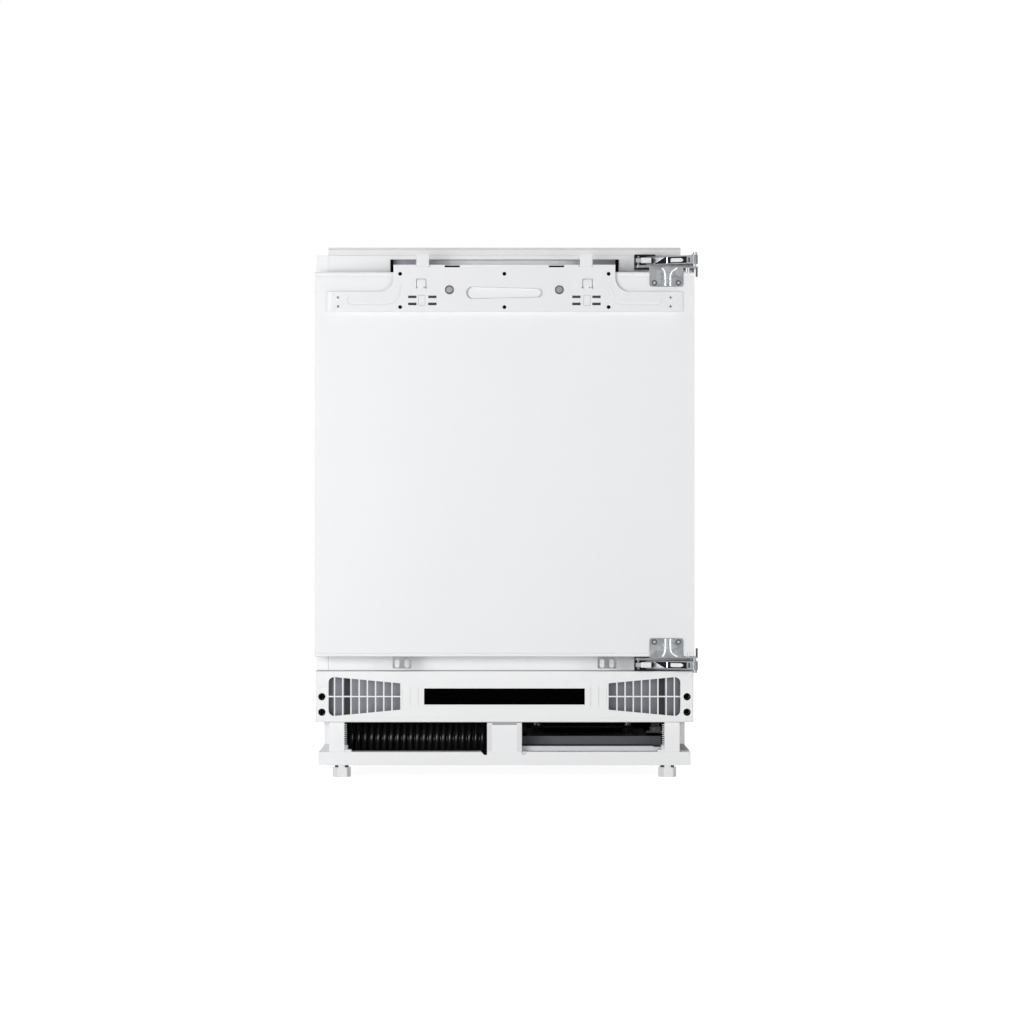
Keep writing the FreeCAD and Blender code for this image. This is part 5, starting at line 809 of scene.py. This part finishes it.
def arm_dress():
    # Painted shade: black lining in the arm's pocket and in its end slot
    both_hinges(on_arm(arm_block("arm_liner", *ARM_LINER)), 0.0002, "hinge_arms", "black_plastic")
    slide = arm_block("arm_slide", *ARM_SLIDE)
    pick_faces(slide, looks(RIGHT))
    draw_out(0, SLIDE_NOSE)
    bpy.ops.transform.resize(value=(1, 0.6, 0.35), center_override=SLIDE_TIP)
    done_editing()
    both_hinges(on_arm(slide), 0.0005, "hinge_arms", "white_plastic", "white_nylon", 3)
    web = arm_block("arm_web", *ARM_WEB)
    for corner in web.data.vertices:
        if corner.co[0] > (ARM_WEB[0][0] + ARM_WEB[0][1]) / 2 / MILLI:
            corner.co[0] = WEB_TOP if corner.co[2] > ARM_MIDDLE else WEB_FOOT
    both_hinges(on_arm(web), 0.0004, "hinge_arms", "zinc_steel")
    pin = turned("arm_pin", ARM_PIN, ARM_PIN_PLACE, (0, 0, 1), 20)
    both_hinges(on_arm(pin), 0.0001, "hinge_arms", "zinc_steel", "zinc_painted_highlight")
    both_hinges(on_arm(arm_block("arm_end_slot", *ARM_END_SLOT)), 0.0003, "hinge_arms", "black_plastic")


def base_dress():
    both_hinges(hinge_block("base_stem", *BASE_STEM), 0.0004, "cabinet", "zinc_steel")
    cover = hinge_block("base_cover", *BASE_COVER)
    framed(cover, FRONT, (0.0012, 0.0005))
    both_hinges(cover, 0.0003, "cabinet", "white_plastic", "cover_nylon")
    # Painted shade: black lining behind the base's stem and cover
    both_hinges(hinge_block("base_lining", *BASE_LINING), 0.0002, "cabinet", "black_plastic")


def plate_dress():
    for side, foot, head in BEAD_ENDS:
        points = [at(SIDE + PLATE_MIDDLE + foot * (1 - share) + head * share, PLATE_FACE, HINGE_FOOT + rise)
                  for share, rise in BEAD_PATH]
        bead = drawn_bead("plate_bead_" + side, points, PLATE_BEAD)
        # Painted highlight: bright zinc along each bead
        both_hinges(bead, 0.0001, "door", "zinc_steel", "zinc_painted_highlight")
    tail = turned("pin_tail", PIN_TAIL, at(SIDE + PIN_TAIL_X, PIN_DEEP, HINGE_FOOT), (0, 0, 1), 20)
    both_hinges(tail, 0.0002, "door", "zinc_steel", "screw_rim")
    cap = turned("barrel_cap", BARREL_CAP, at(SIDE + BARREL_CAP_X, PIN_DEEP, HINGE_FOOT), (0, 0, 1), 28)
    both_hinges(cap, 0.0003, "hinge_arms", "zinc_steel", "plate_zinc")
    for index, x in enumerate(TONGUE_STOPS):
        stop = hinge_block("tongue_stop_%d" % index, (x, x + TONGUE_STOP_WIDTH), TONGUE_STOP_DEEP, TONGUE_STOP_RISE)
        tip = at(SIDE + x + TONGUE_STOP_WIDTH / 2, 0, HINGE_FOOT + TONGUE_STOP_RISE[0])
        tapered(stop, UNDER, (0.5, 0.6, 1), tip)
        both_hinges(stop, 0.0004, "door", "white_plastic", "white_nylon", 3)


# Fine lines and pressed marks on the bracket's face: the second of a pair is a copy moved by a shift in metres
BRACKET_FACE = (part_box("door_screws")[0][1] - DOOR_LOW[1]) * MILLI + 1.5
LINE_EDGE = 0.00005
SQUARE = [(-134.5, -36.7), (-124.1, -36.7), (-124.1, -52.3), (-134.5, -52.3)]
SQUARE_LINE, SQUARE_SHIFT, CORNER_SHARE = 0.00032, 0.2586, 0.02
DOT = [(1.15, 0.4), (1.15, -0.1), (0.7, -0.3), (0.4, -0.15)]
DOT_PLACE, DOT_SHIFTS = (-137.2, -24.4), (0.0116, 0.2588, 0.2704)
TONGUES = ((-137.6, -116.4), (116.4, 137.6))
TONGUE_SINK, TONGUE_FOOT, TONGUE_CORNER, TONGUE_TOP, TONGUE_LINE = 0.25, 0.5, 0.4, 818.0, 0.0003
ARM_BEAD = [(162.0, -24.0), (163.0, -33.0), (167.0, -42.0), (174.0, -49.0), (186.0, -51.4), (206.0, -51.6),
            (226.0, -51.6), (241.0, -51.4), (247.0, -46.0), (244.0, -39.0)]
ARM_BEAD_LINE = 0.0005


def bracket_marks():
    square = []
    for (x, drop), (next_x, next_drop) in zip(SQUARE, SQUARE[1:] + SQUARE[:1]):
        for share in (0, CORNER_SHARE, 1 - CORNER_SHARE):
            square.append((x * (1 - share) + next_x * share, drop * (1 - share) + next_drop * share))
    points = [at(x, BRACKET_FACE, DOOR_TOP + drop) for x, drop in square + square[:1]]
    mark = drawn_bead("press_square", points, SQUARE_LINE)
    twin = copy_of(mark, "press_square_right", (SQUARE_SHIFT, 0, 0))
    dress([mark, twin], LINE_EDGE, "door", "white_enamel", "line_grey", 1)
    dot = turned("press_dot", DOT, at(DOT_PLACE[0], BRACKET_FACE, DOOR_TOP + DOT_PLACE[1]), (0, 1, 0), 16)
    dots = [dot] + [copy_of(dot, "press_dot_%d" % number, (shift, 0, 0)) for number, shift in enumerate(DOT_SHIFTS)]
    dress(dots, 0.0001, "door", "zinc_steel", "clip_steel")


def bracket_lines():
    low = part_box("panel_hangers")[0]
    face = (low[1] - DOOR_LOW[1]) * MILLI + TONGUE_SINK
    foot = low[2] * MILLI + TONGUE_FOOT
    for number, (left, right) in enumerate(TONGUES):
        path = [(left, TONGUE_TOP), (left, foot + TONGUE_CORNER), (left + TONGUE_CORNER, foot),
                (right - TONGUE_CORNER, foot), (right, foot + TONGUE_CORNER), (right, TONGUE_TOP)]
        # Painted shadow: a thin grey line along each tongue's edge where it lies on the bracket
        line = drawn_bead("tongue_edge_%d" % number, [at(x, face, rise) for x, rise in path], TONGUE_LINE)
        dress([line], LINE_EDGE, "door", "white_enamel", "line_grey", 1)
    bead = drawn_bead("arm_bead", [at(x, BRACKET_FACE, DOOR_TOP + drop) for x, drop in ARM_BEAD], ARM_BEAD_LINE)
    twin = mirrored(bead, "arm_bead_left", (2 * MIDDLE, 0, 0), (-1, 1, 1))
    dress([bead, twin], LINE_EDGE, "door", "white_enamel", "shade_white", 1)


# Faces that wear another finish than the rest of their piece, by measures in metres, the grip's drop and half height in
# millimetres, and parts of their normals
SLANT = 0.5
DOME_X, DOME_REACH, DOME_FACE, DOME_FLAT = 0.086, 0.001, 0.00025, 0.99
HEAD_FRONT, HEAD_HEIGHT = 0.00005, 0.002
HEAD_DISH, HEAD_SOCKET = (0.0011, 0.0002), (0.0013, 0.0006)
HINGE_SIDE, BASE_FACE = 0.2, 0.0004
GRIP_REACH, GRIP_DROP, GRIP_HALF = 0.07, 32.5, 11
GRIP_ASIDE, GRIP_FRONT = 0.3, 0.1
HEAD_DEPTH, BORE_REACH = 0.005, 0.002
LIP_TOP, LIP_REAR = 0.0462, -0.19
GUSSET_WIDTH, GUSSET_LOW, GUSSET_HIGH = 0.017, 0.0405, 0.0545
COLLAR_LOW, COLLAR_HIGH, COLLAR_SIDE = 0.0152, 0.0192, 0.0052
THREAD_LOW, GROOVE_R = 0.0195, 0.0074
FEET = ("front_left_foot", "front_right_foot", "rear_left_foot", "rear_right_foot")


def screw_faces():
    screws = ROUNDED["door_screws"]
    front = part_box("door_screws")[0][1]
    stepped(screws, lambda centre, normal: centre[1] < front + HEAD_FRONT, 1, HEAD_DISH)
    # Painted shade: a dark rim round each screw head
    face_finish(screws, "screw_rim", lambda centre, normal: centre[1] < front + HEAD_HEIGHT)
    face_finish(screws, "screw_face", lambda centre, normal: centre[1] < front + DOME_FACE and normal[1] < -DOME_FLAT
                and abs(abs(centre[0] - MIDDLE) - DOME_X) < DOME_REACH)
    stepped(screws, lambda centre, normal: centre[0] > HINGE_SIDE and normal[1] < -FACING, 1, HEAD_SOCKET)
    sunk = [face for face in screws.data.polygons if face.select]
    # Painted shade: the hinge screws' heads dark round their sockets
    face_finish(screws, "screw_rim", lambda centre, normal: centre[0] > HINGE_SIDE and normal[1] < SLANT)
    bright = add_finish(screws, "screw_bright")
    for face in sunk:
        face.material_index = bright


def door_and_grille_faces():
    base_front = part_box("hinge_bases")[0][1]
    # Painted shade: black on the frontmost faces of the hinge bases
    face_finish(ROUNDED["hinge_bases"], "black_plastic",
                lambda centre, normal: normal[1] < -FACING and centre[1] < base_front + BASE_FACE)
    # Painted shade on the end walls of the bracket's grip
    face_finish(ROUNDED["panel_bracket"], "grip_end", lambda centre, normal: abs(centre[0] - MIDDLE) < GRIP_REACH
                and abs(normal[0]) > GRIP_ASIDE and normal[1] < -GRIP_FRONT
                and abs(centre[2] * MILLI - DOOR_TOP + GRIP_DROP) < GRIP_HALF)
    low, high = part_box("vent_grille")

    def in_grille(centre):
        return low[2] < centre[2] < high[2] and centre[1] < high[1] + HEAD_DEPTH

    # Painted shade: black on the screws sunk in the grille and on the walls of their bores
    screws = ROUNDED["cabinet_screws"]
    face_finish(screws, "black_plastic", lambda centre, normal: in_grille(centre))
    heads = [face.center.xz for face in screws.data.polygons if in_grille(face.center)]
    face_finish(ROUNDED["vent_grille"], "black_plastic", lambda centre, normal: normal[1] > -SLANT
                and any((centre.xz - head).length < BORE_REACH for head in heads))


def base_faces():
    face_finish(ROUNDED["compressor_plate"], "bare_lip",
                lambda centre, normal: centre[2] < LIP_TOP and centre[1] < LIP_REAR)
    bar = ROUNDED["base_front_frame"]
    low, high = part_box("base_front_frame")

    def on_gusset(centre, normal):
        return GUSSET_LOW < centre[2] < GUSSET_HIGH and normal[1] < -FACING

    # Painted shade on the front of the base bar's gussets: grey on the right one, pale grey on the left one
    face_finish(bar, "gusset_grey",
                lambda centre, normal: centre[0] > high[0] - GUSSET_WIDTH and on_gusset(centre, normal))
    face_finish(bar, "gusset_pale",
                lambda centre, normal: centre[0] < low[0] + GUSSET_WIDTH and on_gusset(centre, normal))
    for name in FEET:
        low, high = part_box(name)
        axis = Vector(((low[0] + high[0]) / 2, (low[1] + high[1]) / 2))
        # Painted shadow: black on both sides of each foot's neck, where the gap under the bar shows, and on its stem
        # above
        face_finish(ROUNDED[name], "black_rubber", lambda centre, normal: COLLAR_LOW < centre[2] < COLLAR_HIGH
                    and abs(centre[0] - axis[0]) > COLLAR_SIDE)
        face_finish(ROUNDED[name], "black_rubber", lambda centre, normal: centre[2] > THREAD_LOW
                    and (centre.xy - axis).length < GROOVE_R)
    # Painted shade: black on the inner faces of the compressor cover and the rear bar, so the base's bays read dark
    for name in ("compartment_cover", "base_rear_bar"):
        face_finish(ROUNDED[name], "painted_shadow_black", lambda centre, normal: normal[1] < -SLANT)


# Dark strips of painted shade behind the two slots of the air shield
SLOT_BACK = ((241.0, 257.0), (63.1, 65.0), (93.0, 161.5))
SLOT_SHIFT = -0.498


def slot_backs():
    strip = slab("slot_back", *SLOT_BACK)
    framed(strip, REAR, (0.002, 0.0008))
    twin = copy_of(strip, "slot_back_left", (SLOT_SHIFT, 0, 0))
    dress([strip, twin], 0.0003, "cabinet", "black_rubber", "slot_grey")


# Folded edges of the middle post in painted shade, a line of painted shadow along its top, and pads of painted shadow
# behind its notches
POST_EDGE = ((-27.4, -20.0), (37.7, 38.3), (40.4, 85.6))
POST_TOP = ((-19.4, 19.4), (37.6, 38.3), (82.4, 85.2))
NOTCH_PAD = ((-37.0, -27.2), (37.5, 62.0), (34.6, 40.5))
POST_SHIFT, NOTCH_SHIFT = 0.0474, 0.0642


def post_details():
    edge = slab("post_edge", *POST_EDGE)
    framed(edge, FRONT, (0.0008, 0.0002))
    top = slab("post_top", *POST_TOP)
    framed(top, FRONT, (0.0005, 0))
    twin = copy_of(edge, "post_edge_right", (POST_SHIFT, 0, 0))
    dress([edge, twin], 0.0002, "cabinet", "white_enamel", "shade_white")
    dress([top], 0.0002, "cabinet", "white_enamel", "gusset_grey")
    pad = slab("notch_pad", *NOTCH_PAD)
    tapered(pad, REAR, (0.9, 1, 0.9), at(*[span[1] for span in NOTCH_PAD]))
    twin = copy_of(pad, "notch_pad_right", (NOTCH_SHIFT, 0, 0))
    for one, finish in ((pad, "painted_shadow_black"), (twin, "gusset_pale")):
        dress([one], 0.0003, "cabinet", "black_rubber", finish)


# End of the compressor plate with its upstand, the seam of the lower trim, and creases in the grille
PLATE_END = ((235.8, 249.5), (61.0, 102.0), (40.0, 46.2))
UPSTAND_DEEP, UPSTAND_RISE, LIP_DEEP = 100.0, 0.0148, 70.0
SEAM_RISES, SEAM_LINE = (0.5, 8.0, 15.0, 22.0), 0.00035
CREASE_LOW, CREASE_HIGH = (-0.0005, -0.00025, 0), (0.0005, 0.0006, 0.0285)
CREASE_COLUMNS, CREASE_MIDDLE = (160.8, 148.8, 135.5), 0.1275


def plate_end():
    end = slab("plate_end", *PLATE_END)
    upstand = at(0, UPSTAND_DEEP, 0)
    pick_faces(end, looks(TOP))
    bpy.ops.mesh.bisect(plane_co=upstand, plane_no=(0, 1, 0))
    done_editing()
    pick_faces(end, lambda centre, normal: normal[2] > FACING and centre[1] > upstand[1])
    draw_out(2, UPSTAND_RISE)
    done_editing()
    soften(end, 0.0005)
    give(end, "primer_grey")
    face_finish(end, "bare_lip", lambda centre, normal: centre[2] < LIP_TOP and centre[1] < at(0, LIP_DEEP, 0)[1])
    settle(end, "cabinet", SLOT_OF["compressor_plate"])


def trim_seam():
    x, y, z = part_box("bottom_front_trim")[0]
    line = drawn_bead("trim_seam", [(x, y, z + rise / MILLI) for rise in SEAM_RISES], SEAM_LINE)
    dress([line], LINE_EDGE, "cabinet", "white_enamel", "line_grey", 1)


def grille_creases():
    half = CREASE_HIGH[2] / 2
    crease = block("grille_crease", CREASE_LOW, CREASE_HIGH)
    tapered(crease, FRONT, (0.5, 1, 0.96), (0, CREASE_LOW[1], half))
    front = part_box("vent_grille")[0][1]
    places = [(column, side) for side in (-1, 1) for column in CREASE_COLUMNS]
    creases = [crease] + [copy_of(crease, "grille_crease_%d" % number) for number in range(1, len(places))]
    for one, (column, side) in zip(creases, places):
        set_in_place(one, (MIDDLE + side * column / MILLI, front, CREASE_MIDDLE - half))
    dress(creases, 0.0001, "cabinet", "white_plastic", "shade_white", 1)


# Dial marks round the thermostat knob, a pointer on it, and ribs under the lamp's lens, in metres
POINTER_LOW, POINTER_HIGH = (-0.0007, -0.0002, 0.003), (0.0007, 0.0008, 0.0125)
TICK_LOW, TICK_HIGH = (-0.0004, -0.0003, 0.0156), (0.0004, 0.0004, 0.0181)
TICKS, TICK_STEP, TICK_START = 7, 50, -150
RIBS, RIB_PITCH, RIB_INSET, RIB_WIDTH, RIB_DROP, RIB_ROOT = 15, 0.0054, 0.004, 0.0025, 0.0009, 0.0004


def control_details():
    low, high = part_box("thermostat_knob")
    x, z = (low[0] + high[0]) / 2, (low[2] + high[2]) / 2
    pointer = set_in_place(block("knob_pointer", POINTER_LOW, POINTER_HIGH), (x, low[1], z))
    dress([pointer], 0.0002, "knob", "foot_grey", "gusset_grey")
    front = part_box("control_housing")[0][1]
    tick = block("dial_tick", TICK_LOW, TICK_HIGH)
    ticks = [tick] + [copy_of(tick, "dial_tick_%d" % step) for step in range(1, TICKS)]
    for step, one in enumerate(ticks):
        set_in_place(one, (x, front, z), (0, math.radians(TICK_STEP * step + TICK_START), 0))
    dress(ticks, 0.0001, "cabinet", "foot_grey", "gusset_grey", 1)
    low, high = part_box("lamp_lens")
    start = low[0] + RIB_INSET
    rib = block("lens_rib", (start, low[1] + RIB_INSET, low[2] - RIB_DROP),
                (start + RIB_WIDTH, high[1] - RIB_INSET, low[2] + RIB_ROOT))
    tapered(rib, UNDER, (0.3, 0.98, 1), (start + RIB_WIDTH / 2, (low[1] + high[1]) / 2, low[2]))
    ribs = [rib] + [copy_of(rib, "lens_rib_%d" % step, (RIB_PITCH * step, 0, 0)) for step in range(1, RIBS)]
    dress(ribs, 0.0003, "cabinet", SLOT_OF["lamp_lens"])


# White rails along the rims of the door bins, and the grey rolled hem along the top edge of the worktop strip
RAIL_INSET, RAIL_DEPTH, RAIL_HEIGHT = 0.006, 0.0042, 0.009
HEM_INSET, HEM_FRONT, HEM_REAR, HEM_HEIGHT = 0.0005, 0.0007, 0.0052, 0.0038
FLUSH = 0.0001


def bin_rails():
    for name in ("bottle_bin", "middle_bin", "upper_bin"):
        low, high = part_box(name)
        rail = block(name + "_rail", (low[0] + RAIL_INSET, high[1] - RAIL_DEPTH, high[2] - RAIL_HEIGHT),
                     (high[0] - RAIL_INSET, high[1] - FLUSH, high[2] - FLUSH))
        framed(rail, REAR, (0.0016, -0.0006))
        dress([rail], 0.0008, "door", "white_plastic", segments=3)


def strip_hem():
    low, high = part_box("worktop_strip")
    hem = block("strip_hem", (low[0] + HEM_INSET, low[1] - HEM_FRONT, high[2] - HEM_HEIGHT),
                (high[0] - HEM_INSET, low[1] + HEM_REAR, high[2] - FLUSH))
    framed(hem, FRONT, (0.0009, 0.0004))
    dress([hem], 0.0009, "cabinet", "aluminium", "grey_hem", 3)


# Louvre hoods over the slots of the compressor cover, modelled once
LOUVRE = ((94.5, 190.5), (535.3, 540.5), (181.5, 192.5))
LOUVRE_ROWS, LOUVRE_COLUMNS, LOUVRE_DROP, LOUVRE_SHIFT = 5, 2, -0.014, -0.285


def cover_louvres():
    (left, right), (_, rear), (foot, _) = LOUVRE
    hood = slab("louvre", *LOUVRE)
    tapered(hood, REAR, (0.95, 1, 0.55), at((left + right) / 2, rear, foot))
    framed(hood, UNDER, (0.0008, 0.0035))
    hoods = [hood] + [copy_of(hood, "louvre_%d_%d" % (row, column), (LOUVRE_SHIFT * column, 0, LOUVRE_DROP * row))
                      for row in range(LOUVRE_ROWS) for column in range(LOUVRE_COLUMNS) if row or column]
    dress(hoods, 0.0007, "cabinet", SLOT_OF["compartment_cover"])


# Back sheet with a pressed border, as rims and moves from its edge inwards, and flat rivets in it
BACK_STEPS = [(0.022, -0.0006), (0.009, 0.0006), (0.06, -0.0006), (0.012, 0.0006)]
RIVET = [(2.6, -1.2), (3.0, -0.9), (3.0, -0.4), (2.2, -0.12), (1.0, -0.05)]
RIVET_INSET = 0.0265
# Columns and rows of the rivets round the border
RIVET_PLACES = [(0, 1), (0, 2), (0, 3), (1, 0), (1, 3), (2, 0), (2, 1), (2, 2), (2, 3)]


def pressed_back():
    low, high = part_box("back_panel")
    sheet = block("pressed_back", low, high)
    framed(sheet, REAR, *BACK_STEPS)
    soften(sheet, 0.00025)
    settle(sheet, "cabinet", SLOT_OF["back_panel"], "back_panel")
    first = turned("back_rivet", RIVET, (low[0] + RIVET_INSET, high[1], low[2] + RIVET_INSET), (0, 1, 0), 20)
    wide, tall = high[0] - low[0] - 2 * RIVET_INSET, high[2] - low[2] - 2 * RIVET_INSET
    rivets = [first] + [copy_of(first, "back_rivet_%d_%d" % (column, row), (wide * column / 2, 0, tall * row / 3))
                        for column, row in RIVET_PLACES]
    dress(rivets, 0.0002, "cabinet", "zinc_steel")


door_seal()
recess_shade_pads()
foam_covers()
bracket_hole_shadows()
arm_dress()
base_dress()
plate_dress()
strip_hem()
bracket_marks()
slot_backs()
post_details()
plate_end()
trim_seam()
grille_creases()
bracket_lines()
control_details()
bin_rails()
screw_faces()
door_and_grille_faces()
base_faces()
cover_louvres()
pressed_back()

camera()
floor()
backdrop()
for values in LAMPS:
    lamp(*values)
bpy.context.scene.view_settings.view_transform = "Standard"
